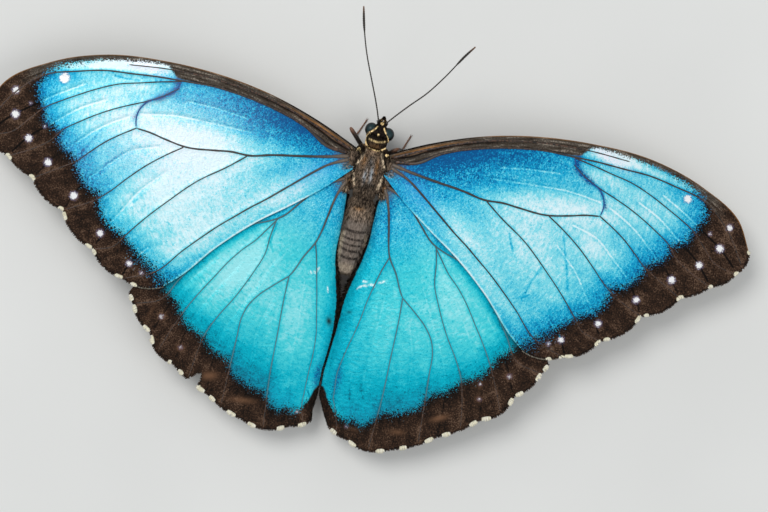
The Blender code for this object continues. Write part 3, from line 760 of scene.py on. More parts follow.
# ---------------- hairs and scales
def blade_template(blunt):
    """One blade of unit length along z with a ring half way, pointed or blunt: places and faces."""
    bm = bmesh.new()
    bmesh.ops.create_cone(bm, cap_ends=True, segments=3, radius1=0.5, radius2=0.5 * blunt, depth=1.0)
    bmesh.ops.translate(bm, vec=(0.0, 0.0, 0.5), verts=bm.verts)
    everything = bm.verts[:] + bm.edges[:] + bm.faces[:]
    bmesh.ops.bisect_plane(bm, geom=everything, plane_co=(0.0, 0.0, 0.5), plane_no=(0.0, 0.0, 1.0))
    bmesh.ops.remove_doubles(bm, verts=bm.verts, dist=1e-4)
    bmesh.ops.triangulate(bm, faces=bm.faces)
    bmesh.ops.recalc_face_normals(bm, faces=bm.faces)
    for vert in bm.verts:
        if abs(vert.co.z - 0.5) < 0.01:
            vert.co.x *= 1.7 - 0.6 * blunt
            vert.co.y *= 1.7 - 0.6 * blunt
    bm.verts.index_update()
    places = np.array([vert.co for vert in bm.verts])
    faces = np.array([[vert.index for vert in face.verts] for face in bm.faces])
    bm.free()
    return places, faces


def blades(name, root, lie, up, length, width, bend, layout, marks, material, slot,
           blunt=0.0, flatness=0.4):
    """Many small blades as one mesh: each starts at its root, lies one way and bends up or down."""
    places, faces = blade_template(blunt)
    lie = unit(lie)
    across = unit(np.cross(lie, up))
    lift = np.cross(across, lie)
    share, side, thick = places[:, 2], places[:, 0], places[:, 1]
    count = len(root)
    length, width, bend = (np.broadcast_to(value, count)[:, None] for value in (length, width, bend))
    rise = bend * length * share ** 2 + flatness * width * thick
    spot = (root[:, None] + lie[:, None] * (length * share)[..., None]
            + lift[:, None] * rise[..., None] + across[:, None] * (width * side)[..., None])
    mesh = bpy.data.meshes.new(name)
    corner = (faces[None] + np.arange(count)[:, None, None] * len(places)).reshape(-1)
    mesh.vertices.add(count * len(places))
    mesh.vertices.foreach_set("co", to_model(spot.reshape(-1, 3)).ravel())
    mesh.loops.add(len(corner))
    mesh.loops.foreach_set("vertex_index", corner.astype(np.int32))
    mesh.polygons.add(len(corner) // 3)
    mesh.polygons.foreach_set("loop_start", np.arange(0, len(corner), 3, dtype=np.int32))
    mesh.update(calc_edges=True)
    mesh.validate()
    write_fields(mesh, {key: np.repeat(np.broadcast_to(values, count), len(places))
                        for key, values in marks.items()})
    patch = layout[:, None] + 0.0015 * np.stack([side * 2, share * 2 - 1], axis=-1)
    write_map(mesh, patch.reshape(-1, 2)[corner])
    add_piece(name, mesh, [material], slot)


# ---------------- the body
COAT_DEPTH = 0.08             # how far the skin lies inside the solids
SKIN_VOXEL = 0.1
# Sections (y, half width, underside, back), as the solids.
THORAX = ((1.2, 1.9, 4.5, 8.4), (-1, 2.4, 3.6, 9.2), (-3.6, 2.55, 3.3, 9.45), (-6, 2.5, 3.4, 9.2),
    (-8.3, 2.3, 3.8, 8.6))
ABDOMEN = ((-6.9, 2.2, 3.9, 8.5), (-10, 2.5, 3.6, 8.6), (-13, 2.55, 3.5, 8.4), (-16.5, 2.38, 3.6, 8),
    (-19.5, 2.05, 3.9, 7.4), (-21.9, 1.7, 4.3, 6.8))
TAIL_BEND = 0.4               # how far the abdomen's end leans to the left
COLLAR = ((-4, 1.7, 4.8, 8.2), (-2.7, 2.05, 4.5, 8.2), (-1.7, 2.1, 4.6, 8.15), (-0.9, 1.8, 4.8, 7.9))
HEAD = ((-2.2, 2.5, 4.9, 7.7), (-1.3, 2.6, 4.6, 7.95), (-0.85, 2.42, 4.5, 8), (-0.4, 2.02, 4.5, 8),
    (0.1, 1.52, 4.5, 8), (1, 1.15, 4.6, 7.85), (1.75, 0.9, 4.9, 7.3))
EYE_CENTRE = (1.54, -0.22, 6.12)
EYE_RADII = (1.2, 1.25, 1.25)
# Fleshy lumps, right side: centre, then half sizes.
LUMPS = (
    ((2.35, -0.4, 8.15), (0.95, 1.9, 0.75)),      # tegula, over the forewing's base
    ((3.1, -1.2, 7.75), (1.7, 1.7, 0.55)),        # forewing hinge
    ((3.0, -4.8, 7.35), (1.6, 1.9, 0.55)),        # hindwing hinge
    ((2.0, 0.9, 7.0), (0.9, 0.9, 0.9)),           # shoulder
)
SEGMENT_LINES = (-9.3, -11.6, -13.5, -15.0, -16.1, -17.1, -18.4)
SEGMENT_SAG = 0.45            # how much further back a line runs at the midline

CREAM_RING = ((0.05, 5.3), (-0.15, 4.85), (-0.55, 4.45), (-1.1, 4), (-1.55, 3.4), (-1.65, 2.7),
    (-1.4, 1.9), (-0.7, 1.3), (0.2, 1), (1, 1), (1.8, 1.35), (2.4, 2), (2.55, 2.8), (2.3, 3.7),
    (1.85, 4.3), (1.45, 4.8), (1.3, 5.2))
CREAM_BAR = ((-1.0, 2.85), (-0.4, 2.6), (0.5, 2.5), (1.3, 2.6), (1.9, 2.85))
PALE_LINES = (((-1.15, 0.8), (-1.6, -0.6), (-2.2, -1.9)), ((1.75, 0.8), (2.1, -0.4), (2.8, -2.1)),
    ((-2.7, -3.5), (-2.35, -4.6), (-1.95, -5.7)), ((2.75, -3.5), (2.5, -4.6), (2.2, -5.8)))
# Dark, blue-grey and rusty patches of the body, as the pools.
DARK_PATCHES = ((-2.05, 0.75, 0.95, 0.95, 0, 1.6), (2.8, 0.65, 1.15, 1.05, 0, 1.6),
    (-2.75, -2.6, 0.45, 0.8, 0, 1.2), (3.1, -2.6, 0.45, 0.8, 0, 1.2),
    (-2.35, -0.95, 1.4, 0.26, 62, 1.2), (2.72, -0.9, 1.5, 0.26, -66, 1.2),
    (-2.8, -4.6, 1.2, 0.34, 90, 1.1), (3.05, -4.4, 1.2, 0.34, 90, 1.1), (-2.8, -6.1, 0.45, 1.2, 0, 1.1),
    (2.95, -6.3, 0.45, 1.3, 0, 1.1), (0.2, -2.3, 1.8, 0.16, 90, 0.6), (0.2, -5.6, 0.8, 0.55, 0, 1),
    (0.4, -8.1, 1.2, 0.5, 0, 1.1), (-0.8, -7, 0.35, 0.9, 0, 0.8), (-0.1, -9.5, 1.4, 0.3, 0, 0.8),
    (0.9, -6.7, 0.3, 0.8, 0, 0.6), (-1.3, -4.9, 0.3, 0.9, 10, 0.5), (1.6, -4.9, 0.3, 0.9, -10, 0.5))
SHEEN_PATCHES = ((-0.4, -3.8, 0.28, 1.2, 0, 0.8), (0.62, -3.3, 0.28, 1.5, 0, 0.9),
    (0.15, -1.2, 0.22, 0.7, 0, 0.5))
HEAD_BROWN = (0.15, 1.5, 1.6, 0.75, 0.0, 1.0)
WARM_PATCHES = ((0.15, 1.5, 1.6, 0.75, 0, 0.8), (0.75, 2.3, 0.45, 0.7, 0, 0.7),
    (0.8, 5.7, 0.4, 0.4, 0, 0.7), (-1, -1.1, 0.36, 1, 0, 0.8), (1.3, -1.9, 0.3, 1.4, 0, 1),
    (-0.4, -9.9, 0.9, 0.4, 0, 0.7), (-3, -5.15, 0.3, 0.3, 0, 1), (3.3, -5.3, 0.3, 0.35, 0, 1))
# Coats: name, length, width, spread and rise of the hair, and where along y each begins and ends.
COATS = (("thorax_hair", 0.95, 0.085, 0.3, 0.16, (-9.6, -8.2), (0.6, 1.4)),
    ("abdomen_hair", 0.55, 0.08, 0.1, 0.1, (-99, -98), (-9.4, -8)),
    ("head_hair", 0.42, 0.06, 0.22, 0.14, (0.4, 1.1), (98, 99)))
WAIST_TUFT = (0.0, -7.2, 1.7, 1.7, 0.0, 0.6)      # longer hair where the thorax ends
BARE_EYE = 1.13               # no hair grows so near to an eye's centre
PLATE_RISE = 0.1             # how far a plate of the abdomen overlaps the next
SOCKET_DEPTH = 0.1
# Grooves round the neck: depth, place, half width and where they fade out below.
NECK_GROOVES = ((0.12, -1.15, 0.16, 1.0, 2.0), (0.16, -3.55, 0.2, 0.2, 0.8))
# Length of the hair down the hindwing's inner edge, at distances back from the head.
INNER_HAIR_LENGTH = ((6, 0.6), (10, 0.5), (19, 0.7), (22, 1.5), (27, 1.3), (31, 0.8), (36, 0.45),
    (42, 0.3))
PALE_DOTS = ((-2.4, 0.6, 0.3), (2.75, 0.45, 0.3), (0.5, 3.8, 0.22), (0.8, 5.95, 0.3))


def place_verts(verts, base):
    """Move vertices from a turned frame to the wings' frame."""
    for vert, point in zip(verts, placed([vert.co for vert in verts], base)):
        vert.co = point


def add_barrel(bm, sections, squareness, bluntness, base):
    """Add a closed round body along y, from sections drawn in by the coat's depth."""
    ball = bmesh.ops.create_uvsphere(bm, u_segments=40, v_segments=36, radius=1.0)["verts"]
    sections = [(y, half - COAT_DEPTH, underside + COAT_DEPTH, back - COAT_DEPTH)
                for y, half, underside, back in sections]
    for vert in ball:
        polar = math.acos(max(-1.0, min(1.0, vert.co.z)))
        y, half_width, underside, back = spline(sections, [(1 - math.cos(polar)) / 2])[0]
        ring = math.hypot(vert.co.x, vert.co.y)
        if ring < 1e-6:
            vert.co = 0.0, y, (underside + back) / 2
            continue
        fullness = math.sin(polar) ** bluntness
        side, up = vert.co.x / ring, vert.co.y / ring
        squared = (abs(side) ** squareness + abs(up) ** squareness) ** (-1 / squareness)
        vert.co = (half_width * fullness * squared * side, y,
                   (underside + back) / 2 + (back - underside) / 2 * fullness * squared * up)
    place_verts(ball, base)


def add_ball(bm, centre, radii, base, fineness=24):
    """Add an ellipsoid."""
    ball = bmesh.ops.create_uvsphere(bm, u_segments=fineness, v_segments=fineness * 2 // 3,
                                     radius=1.0)["verts"]
    bmesh.ops.scale(bm, vec=radii, verts=ball)
    bmesh.ops.translate(bm, vec=centre, verts=ball)
    place_verts(ball, base)


def fused(bm, voxel):
    """One closed skin over overlapping lumps."""
    mesh = to_mesh(bm)
    obj = bpy.data.objects.new("lumps", mesh)
    bpy.context.scene.collection.objects.link(obj)
    fuse = obj.modifiers.new("fuse", "REMESH")
    fuse.mode = "VOXEL"
    fuse.voxel_size = voxel
    bpy.context.view_layer.update()
    seen = obj.evaluated_get(bpy.context.evaluated_depsgraph_get())
    skin = bmesh.new()
    skin.from_mesh(seen.data)
    bpy.data.objects.remove(obj)
    bpy.data.meshes.remove(mesh)
    for _ in range(3):
        bmesh.ops.smooth_vert(
            skin, verts=skin.verts, factor=0.5, use_axis_x=True, use_axis_y=True, use_axis_z=True)
    return skin


def segment_phase(x, y):
    """Abdomen rings: the distance back from each ring's line, as a share of its length."""
    across, along = seen_from(x, y, BODY_FRAME)
    lines = np.array(SEGMENT_LINES)
    back = along + SEGMENT_SAG * (1 - np.clip(across / 2.2, -1, 1) ** 2)
    index = np.clip(np.searchsorted(-lines, -back) - 1, 0, len(lines) - 1)
    gap = np.append(lines[:-1] - lines[1:], 1.4)[index]
    share = np.clip((lines[index] - back) / gap, 0.0, 1.0)
    return np.where(back > lines[0], 1.0, share), back


def coat_marks(x, y, z):
    """The measures that the body's skin and coat are coloured by."""
    across, along = seen_from(x, y, BODY_FRAME)
    upper = soft(z, 5.6, 6.6)
    cream = np.maximum(1 - soft(distance_to(smooth_line(CREAM_RING, 0.3), x, y), 0.04, 0.17),
                       0.42 * (1 - soft(distance_to(CREAM_BAR, x, y), 0.08, 0.26)))
    for dot_x, dot_y, radius in PALE_DOTS:
        away = np.hypot(x - dot_x, y - dot_y)
        cream = np.maximum(cream, 1 - soft(away, radius * 0.7, radius * 1.2))
    stripe = 1 - soft(nearest(PALE_LINES, x, y), 0.12, 0.3)
    inner = soft(depth_in(CREAM_RING, x, y), -0.3, 0.1)
    dark = np.maximum(inner * (1 - 0.24 * pool(x, y, HEAD_BROWN)), soft(y, 4.6, 5.2))
    for mark in DARK_PATCHES:
        dark = np.maximum(dark, pool(x, y, mark))
    share, back = segment_phase(x, y)
    lines = (1 - soft(share, 0.2, 0.46)) * soft(-back, 12.9, 13.9) * (1 - soft(-back, 19.3, 19.7))
    grey = soft(-along, 10.8, 13)
    pale_side = grey * soft(np.abs(across), 1.5, 2.2) * soft(z, 5, 6)
    pale = (0.55 * pale_side * soft(-along, 13.5, 15) + 0.24 * soft(-along, 19.6, 20.6)
            + 0.9 * stripe * upper)
    marks = {"cream": cream * upper, "dark": dark, "sheen": pools(SHEEN_PATCHES, x, y),
             "warm": pools(WARM_PATCHES, x, y), "ring": lines * (1 - 0.6 * pale_side),
             "grey": grey, "pale": pale, "below": 1 - soft(z, 4.6, 6.4)}
    return {key: np.clip(values, 0, 1) for key, values in marks.items()}


def from_eyes(place):
    """Distance from places to the centre of the nearer eye, heights counted a little less."""
    x, y = seen_from(place[:, 0], place[:, 1], HEAD_FRAME)
    return np.sqrt((np.abs(x) - EYE_CENTRE[0]) ** 2 + (y - EYE_CENTRE[1]) ** 2
                   + ((place[:, 2] - EYE_CENTRE[2]) / 1.2) ** 2)


def body_layout(places):
    """Unwrap of the skin: round the body across, along it up."""
    across, along = seen_from(places[:, 0], places[:, 1], BODY_FRAME)
    round_body = (np.arctan2(across, places[:, 2] - 6.2) / (2 * math.pi) + 0.5)
    return np.column_stack([0.04 + 0.92 * round_body, 0.02 + 0.96 * (along + 22.5) / 31.0])


def make_skin(material):
    """One skin over thorax, abdomen, prothorax and head; returns mesh, places and normals."""
    bm = bmesh.new()
    add_barrel(bm, THORAX, 2.3, 0.42, BODY_FRAME)
    add_barrel(bm, ABDOMEN, 2.1, 0.32, BODY_FRAME)
    add_barrel(bm, COLLAR, 2.2, 0.35, HEAD_FRAME)
    add_barrel(bm, HEAD, 2.2, 0.5, HEAD_FRAME)
    for side in SIGN.values():
        for centre, radii in LUMPS:
            add_ball(bm, (side * centre[0], *centre[1:]), radii, BODY_FRAME)
        add_ball(bm, (side * 0.62, 1.35, 7.45), (0.42, 0.42, 0.42), HEAD_FRAME, 16)
    mesh = to_mesh(fused(bm, SKIN_VOXEL))
    place, normal = read(mesh.vertices, "co", 3), read(mesh.vertex_normals, "vector", 3)
    place[:, 0] -= TAIL_BEND * soft(-place[:, 1], 12.5, 19)

    # The abdomen's plates overlap, the eyes sit in sockets, and grooves part head and collar.
    share, back = segment_phase(place[:, 0], place[:, 1])
    plates = np.where(back < -8.5, PLATE_RISE * (1 - (1 - share) ** 2.5) - PLATE_RISE / 2, 0.0)
    rise = plates * soft(-back, 8.5, 11)
    rise -= SOCKET_DEPTH * (1 - soft(from_eyes(place), 0.9, 1.15))
    _, head_y = seen_from(place[:, 0], place[:, 1], HEAD_FRAME)
    for depth, at, width, low, high in NECK_GROOVES:
        rise -= depth * np.exp(-((head_y - at) / width) ** 2) * soft(place[:, 1], low, high)
    place = place + normal * rise[:, None]
    mesh.vertices.foreach_set("co", to_model(place).ravel())
    write_fields(mesh, {**coat_marks(*place.T), "shade": 0.5})

    corner, first, count = corners_of(mesh)
    uv = body_layout(place)[corner]
    wrap = uv[:, 0] - np.repeat(uv[first, 0], count)
    uv[:, 0] -= 0.92 * np.sign(wrap) * (np.abs(wrap) > 0.46)
    write_map(mesh, uv)
    add_piece("body_skin", mesh, [material], "body_coat", "thorax", "abdomen", "prothorax", "head")
    return mesh, place, normal


def scatter(mesh, place, normal, count, density, seed):
    """Random places on a mesh, more where density is higher, and the normals there."""
    rng = np.random.default_rng(seed)
    mesh.calc_loop_triangles()
    corner = read(mesh.loop_triangles, "vertices", 3, int)
    a, b, c = place[corner].transpose(1, 0, 2)
    area = np.linalg.norm(np.cross(b - a, c - a), axis=1) / 2
    weight = area * density((a + b + c) / 3)
    pick = rng.choice(len(corner), count, p=weight / weight.sum())
    first, second = rng.random(count), rng.random(count)
    folded = first + second > 1
    first[folded], second[folded] = 1 - first[folded], 1 - second[folded]
    shares = np.column_stack([1 - first - second, first, second])
    root = (place[corner[pick]] * shares[..., None]).sum(axis=1)
    out = unit((normal[corner[pick]] * shares[..., None]).sum(axis=1))
    return root, out, rng


def make_body_coat(mesh, place, normal, material, settings):
    """Short hair over thorax, collar and head, and flat scales and hair on the abdomen."""
    for seed, (name, length, width, spread, rise, starts, ends) in enumerate(COATS, 11):
        count = getattr(settings, name + "s")
        root, out, rng = scatter(mesh, place, normal, count, lambda centre: (
            soft(centre[:, 1], *starts) * (1 - soft(centre[:, 1], *ends))
            * (from_eyes(centre) > BARE_EYE)), seed)
        across, along = seen_from(root[:, 0], root[:, 1], BODY_FRAME)
        # Hair lies back and outwards on the body, and forward on the head's front.
        lie = np.column_stack(
            [0.22 * np.tanh(across / 1.5), np.full(count, -1.0), -0.25 * np.abs(np.tanh(across / 2.0))])
        front = soft(root[:, 1], 4.3, 5.4)[:, None]
        lie = lie * (1 - front) + np.array((0.0, 0.9, 0.25)) * front
        lie += rng.normal(0.0, spread, lie.shape)
        lie -= (lie * out).sum(axis=1)[:, None] * out
        flank = soft(np.abs(out[:, 0]), 0.55, 0.95) * soft(-root[:, 1], 6, 9)
        lift = (rise + 0.55 * flank) * (0.6 + 0.8 * rng.random(count))
        lie = unit(lie) + out * lift[:, None]
        flank *= 0.25 if name == "thorax_hair" else 1.0
        longer = (1 + pool(across, along, WAIST_TUFT) + 0.5 * soft(-root[:, 1], 20.3, 21.6)
                  + 0.7 * flank)
        size = length * (0.6 + 0.7 * rng.random(count)) * longer
        marks = coat_marks(*root.T)
        size *= 1 - 0.5 * np.maximum(marks["cream"], marks["pale"])
        marks["shade"] = rng.random(count)
        blades(name, root - out * 0.05, lie, out, size, width * (0.7 + 0.6 * rng.random(count)),
               -0.12, body_layout(root), marks, material, "body_coat")


# ---------------- eyes, feelers and legs
PALP_PATH = ((0.62, 0.9, 4.1), (0.46, 1.8, 4.6), (0.25, 2.15, 5.6), (0.1, 2.55, 6.6))
PROBOSCIS_CENTRE = (0.0, 0.2, 3.05)
PROBOSCIS_RADII = (0.32, 1.05)
PROBOSCIS_TURNS = 1.15
ANTENNA_PATHS = {
    "left": ((0.08, 6.15, 7.6), (-0.5, 7.9, 8.6), (-1.33, 10.1, 9.8), (-2.5, 12.9, 11.4),
        (-4.35, 17.5, 14.2), (-5.7, 22.1, 17), (-6.3, 24.9, 18.7)),
    "right": ((1.3, 5.95, 7.6), (2.95, 7.8, 8.6), (5, 9.95, 10), (7.5, 12.4, 12), (9.95, 15.5, 14.3),
        (13.3, 20.4, 17.7), (14.35, 21.7, 18.7)),
}
ANTENNA_RADIUS = 0.13
CLUB_RADIUS = 0.24
CLUB_START = 0.78
ANTENNA_RINGS = 52
# Legs: body, knee, ankle, start and end of the foot.  The foot's underside is on the floor.
FOOT_RADIUS = 0.16
LEG_PATHS = {
    "midleg_left": ((-1, 0.3, 3.4), (-4.8, 4.3, 5.4), (-3.7, 3.3, 0.75), (-3.3, 4, 0.16),
        (-2.2, 6.6, 0.16)),
    "midleg_right": ((1.6, 0.1, 3.4), (4.4, 2.1, 5.2), (5.3, 2.4, 0.75), (5.5, 3.1, 0.16),
        (6.3, 5.2, 0.16)),
    "hindleg_left": ((-1.7, -5, 3.4), (-6.2, -8.4, 5.4), (-8.2, -14.2, 0.75), (-8.5, -15.1, 0.16),
        (-9.3, -19.6, 0.16)),
    "hindleg_right": ((1.7, -5, 3.4), (6.4, -8.2, 5.4), (8.5, -13.8, 0.75), (8.8, -14.7, 0.16),
        (9.7, -19.2, 0.16)),
    "foreleg_left": ((-0.2, 1.5, 4.6), (-1.35, 3.3, 3.8), (-0.7, 4.7, 4.1)),
    "foreleg_right": ((1, 1.4, 4.6), (2.3, 3.1, 3.8), (1.75, 4.5, 4.1)),
}
BEND_RADIUS = 0.7
LEG_SPINES = 26
PALP_SCALES = 900
# A claw's points: how far they lie ahead of the foot's end, beside it and below it.
CLAW = ((-0.1, 0.0, 0.0), (0.12, 0.12, 0.0), (0.26, 0.16, 0.04), (0.34, 0.15, 0.1))


def make_eye(side, material):
    """A domed compound eye."""
    bm = bmesh.new()
    add_ball(bm, (SIGN[side] * EYE_CENTRE[0], *EYE_CENTRE[1:]), EYE_RADII, HEAD_FRAME, 64)
    level = np.array([vert.co.z for vert in bm.verts])
    mesh = finished(bm)
    # The height up the eye sets its painted light: lighter on top, near black lower down.
    write_fields(mesh, {"dome": np.clip((level - EYE_CENTRE[2]) / EYE_RADII[2], 0.0, 1.0)})
    add_piece(f"eye_{side}_cornea", mesh, [material], "eye_cornea", f"eye_{side}")


def make_antenna(side, material):
    """A ringed feeler that thickens to a slim club, on a round socket."""
    bm = bmesh.new()
    count = ANTENNA_RINGS * 3 + 1
    share = np.linspace(0.0, 1.0, count)
    club = np.clip((share - CLUB_START) / (1 - CLUB_START), 0.0, 1.0)
    radii = ANTENNA_RADIUS * (1 - 0.15 * share) + (CLUB_RADIUS - ANTENNA_RADIUS) * np.sin(
        math.pi * club ** 0.8) ** 0.8
    ring = np.where(np.arange(count) % 3 == 0, 0.88, 1.04)
    foot = 1 + 0.9 * np.exp(-(share / 0.012) ** 2)
    roll_bar(
        bm, spline(ANTENNA_PATHS[side], share), radii * ring * foot, {"share": share, "ring": ring})
    add_piece(f"antenna_{side}_rings", finished(bm), [material], "antenna_cuticle", f"antenna_{side}")


def make_palp(side, material):
    """A palp: a curved core covered in close scales."""
    sign = SIGN[side]
    path = placed([(sign * x, y, z) for x, y, z in PALP_PATH], HEAD_FRAME)
    share = np.linspace(0.0, 1.0, 20)
    radii = np.interp(share, (0.0, 0.15, 0.5, 0.85, 1.0), (0.18, 0.24, 0.24, 0.15, 0.07))
    bm = bmesh.new()
    roll_bar(bm, spline(path, share), radii, {"share": share})
    add_piece(f"palp_{side}_core", finished(bm), [material], "palp_scales", f"palp_{side}")
    rng = np.random.default_rng(31 + int(sign))
    count = PALP_SCALES
    at = rng.random(count) ** 0.8
    centre, ahead = spline(path, at), unit(spline(path, at + 0.02) - spline(path, at - 0.02))
    turn = rng.random(count) * 2 * math.pi
    side_way = unit(np.cross(ahead, (1.0, 0.0, 0.0)))
    out = (np.cos(turn)[:, None] * side_way + np.sin(turn)[:, None] * np.cross(ahead, side_way))
    root = centre + out * np.interp(at, share, radii)[:, None] * 0.85
    lie = ahead + out * (0.12 + 0.2 * rng.random(count))[:, None]
    outer = np.clip(sign * out[:, 0], 0, 1)
    marks = {"cream": 0.65 * (1 - soft(at, 0.55, 0.8)), "warm": 0.8,
             "shade": rng.random(count), "dark": np.maximum(soft(at, 0.72, 0.9), 0.8 * outer)}
    layout = np.column_stack([0.1 + 0.8 * turn / (2 * math.pi), 0.05 + 0.9 * at])
    blades(f"palp_{side}_scales", root, lie, out, 0.2 + 0.14 * rng.random(count), 0.06, 0.1,
           layout, marks, material, "palp_scales")


def make_proboscis(material):
    """The coiled tongue, ringed all the way."""
    turns = np.linspace(0.0, 1.0, 160)
    angle = 2 * math.pi * PROBOSCIS_TURNS * turns
    reach = np.interp(turns, (0, 1), PROBOSCIS_RADII)
    x, y, z = PROBOSCIS_CENTRE
    path = np.column_stack(
        [np.full(len(turns), x), y + reach * np.cos(angle), z + reach * np.sin(angle)])
    ring = np.where(np.arange(len(turns)) % 2 == 0, 0.92, 1.04)
    bm = bmesh.new()
    roll_bar(bm, placed(path, HEAD_FRAME), (0.12 + 0.09 * turns) * ring, {"share": turns, "ring": ring})
    add_piece("proboscis_coil", finished(bm), [material], "proboscis_cuticle", "proboscis")


def rounded(path, radius):
    """A leg's centre line with its joints rounded off, and the share along it of each joint."""
    points = [np.array(point, float) for point in path]
    line = [points[0]]
    for before, joint, after in zip(points, points[1:], points[2:]):
        start, end = (joint + way / length * min(radius, 0.45 * length)
                      for way in (before - joint, after - joint)
                      for length in (np.linalg.norm(way),))
        line.extend((start, 0.25 * start + 0.5 * joint + 0.25 * end, end))
    line = np.array([*line, points[-1]])
    reach = run_length(line)
    reach /= reach[-1]
    shares = np.linspace(0.0, 1.0, 120)
    fine = np.column_stack([np.interp(shares, reach, line[:, k]) for k in range(3)])
    for _ in range(3):
        fine[1:-1] = (fine[:-2] + 2 * fine[1:-1] + fine[2:]) / 4
    return fine, shares, reach[2:-1:3]


def make_leg(name, path, material):
    """A jointed leg: thigh, spined shin, a foot of five pieces and two claws."""
    bm = bmesh.new()
    line, share, joints = rounded(path, BEND_RADIUS)
    folded = name.startswith("foreleg")
    if folded:
        stops = (0.0, 0.1, joints[0] - 0.06, joints[0], joints[0] + 0.08, 0.9, 1.0)
        radii = np.interp(share, stops, (0.2, 0.24, 0.17, 0.13, 0.18, 0.13, 0.06))
        foot_start = 0.7
    else:
        knee, ankle, foot_start = joints
        stops = (0.0, knee * 0.35, knee * 0.92, knee, knee + 0.04, ankle * 0.96, ankle, 1.0)
        radii = np.interp(share, stops, (0.34, 0.42, 0.38, 0.3, 0.28, 0.18, 0.14, 0.13))
        pieces = np.clip((share - foot_start) / (1 - foot_start), 0, 1) * 5
        waist = 0.28 * np.exp(-((pieces - np.rint(pieces)) / 0.09) ** 2)
        radii *= 1 - waist * (share > foot_start + 0.01)
        radii = np.minimum(radii, np.where(share > foot_start, FOOT_RADIUS, 1.0))
    ruddy = np.maximum(soft(share, foot_start - 0.25, foot_start),
                       0.9 * np.exp(-((share - joints[0]) / 0.06) ** 2))
    roll_bar(bm, line, radii, {"share": share, "foot": ruddy})
    end, ahead = line[-1], unit((line[-1] - line[-6])[None])[0]
    across = np.cross(ahead, UPWARD)
    for side in (-1, 1):
        claw = np.array(
            [end + on * ahead + side * out * across - down * UPWARD for on, out, down in CLAW])
        claw[:, 2] = np.maximum(claw[:, 2], 0.03)
        roll_bar(bm, spline(claw, np.linspace(0, 1, 8)), np.linspace(0.05, 0.02, 8),
                 {"share": 1.0, "foot": 0.0}, 6)
    rng = np.random.default_rng(len(name) + 5)
    for spine in range(0 if folded else LEG_SPINES):
        at = joints[0] + 0.03 + (0.97 - joints[0]) * spine / LEG_SPINES
        index = int(at * (len(line) - 1))
        ahead = unit((line[index + 1] - line[index - 1])[None])[0]
        out = np.cross(ahead, unit(rng.normal(size=(1, 3)))[0])
        out[2] = abs(out[2]) if line[index][2] < 0.5 else out[2]
        start = line[index] + out * radii[index] * 0.7
        stop = start + out * 0.16 + ahead * 0.24
        roll_bar(bm, np.array([start, (start + stop) / 2 + 0.02 * out, stop]),
                 (0.03, 0.03, 0.01), {"share": 0.0, "foot": 0.0}, 4)
    add_piece(f"{name}_limb", finished(bm), [material], "leg_cuticle", name)


# ---------------- fringe and wing-base hair
def edge_blades(name, kind, side, material, settings):
    """The fringe of scales round a wing's outer margin."""
    plan = wing_plan(kind, side)
    margin = plan[-1]
    reach = run_length(margin)
    rng = np.random.default_rng(len(name))
    count = int(reach[-1] * settings.fringe_per_mm)
    at = np.sort(rng.random(count)) * reach[-1]

    def places(line, where):
        """Where a row of the wing's plan is, at distances along its margin."""
        return np.column_stack([np.interp(where, reach, line[:, k]) for k in (0, 1)])

    base = places(margin, at)
    across = unit(base - places(plan[-12], at))
    tangent = unit(places(margin, at + 0.2) - places(margin, at - 0.2))
    outward = unit(across * 0.3 + np.column_stack([-tangent[:, 1], tangent[:, 0]]))
    root, stop = (on_wing(kind, side, x, y, relief(kind, x, y))
                  for x, y in ((base - 0.18 * outward).T, (base + 0.3 * outward).T))
    root[:, 2] += rng.normal(0.02, 0.02, count)
    lie = unit(stop - root)
    out_x, out_y = carried(*base.T, kind, side)
    bulge = np.zeros(count)
    for mark_x, mark_y, half in fringe_marks(kind, side, margin):
        away = np.hypot(out_x - mark_x, out_y - mark_y) / half
        bulge = np.maximum(bulge, np.sqrt(np.clip(1 - away ** 2, 0.0, 1.0)))
    pale = bulge > 0.15 + 0.1 * rng.random(count)
    lie += rng.normal(0.0, 0.1, (count, 3)) * (1, 1, 0.4) * np.where(pale, 0.3, 1.0)[:, None]
    deep, tall = (0.05, 0.2) if kind == "fore" else (0.28, 0.32)
    root -= np.where(pale, deep * bulge, 0.0)[:, None] * unit(lie)
    root[:, 2] += np.where(pale, 0.03, 0.0)
    length = np.where(pale, 0.28 + (deep + tall) * bulge, 0.4 * (0.75 + 0.4 * rng.random(count)))
    # Painted highlight: where the forewing's corner lies on the hindwing its fringe is made pale, as
    # the lit rear edge.
    wear_and_glint = FRINGE_GLINT * (1 - soft(reach[-1] - at, 5.5, 7)) * (kind == "fore")
    layout = np.column_stack([0.02 + 0.96 * at / reach[-1], 0.5 + 0.4 * rng.random(count)])
    blades(name, root, lie, UPWARD, length, np.where(pale, 0.2, 0.12), 0.0, layout,
           {"cream": np.maximum(pale, wear_and_glint), "shade": rng.random(count)}, material,
           f"{kind}wing_scales", blunt=0.75, flatness=0.12)


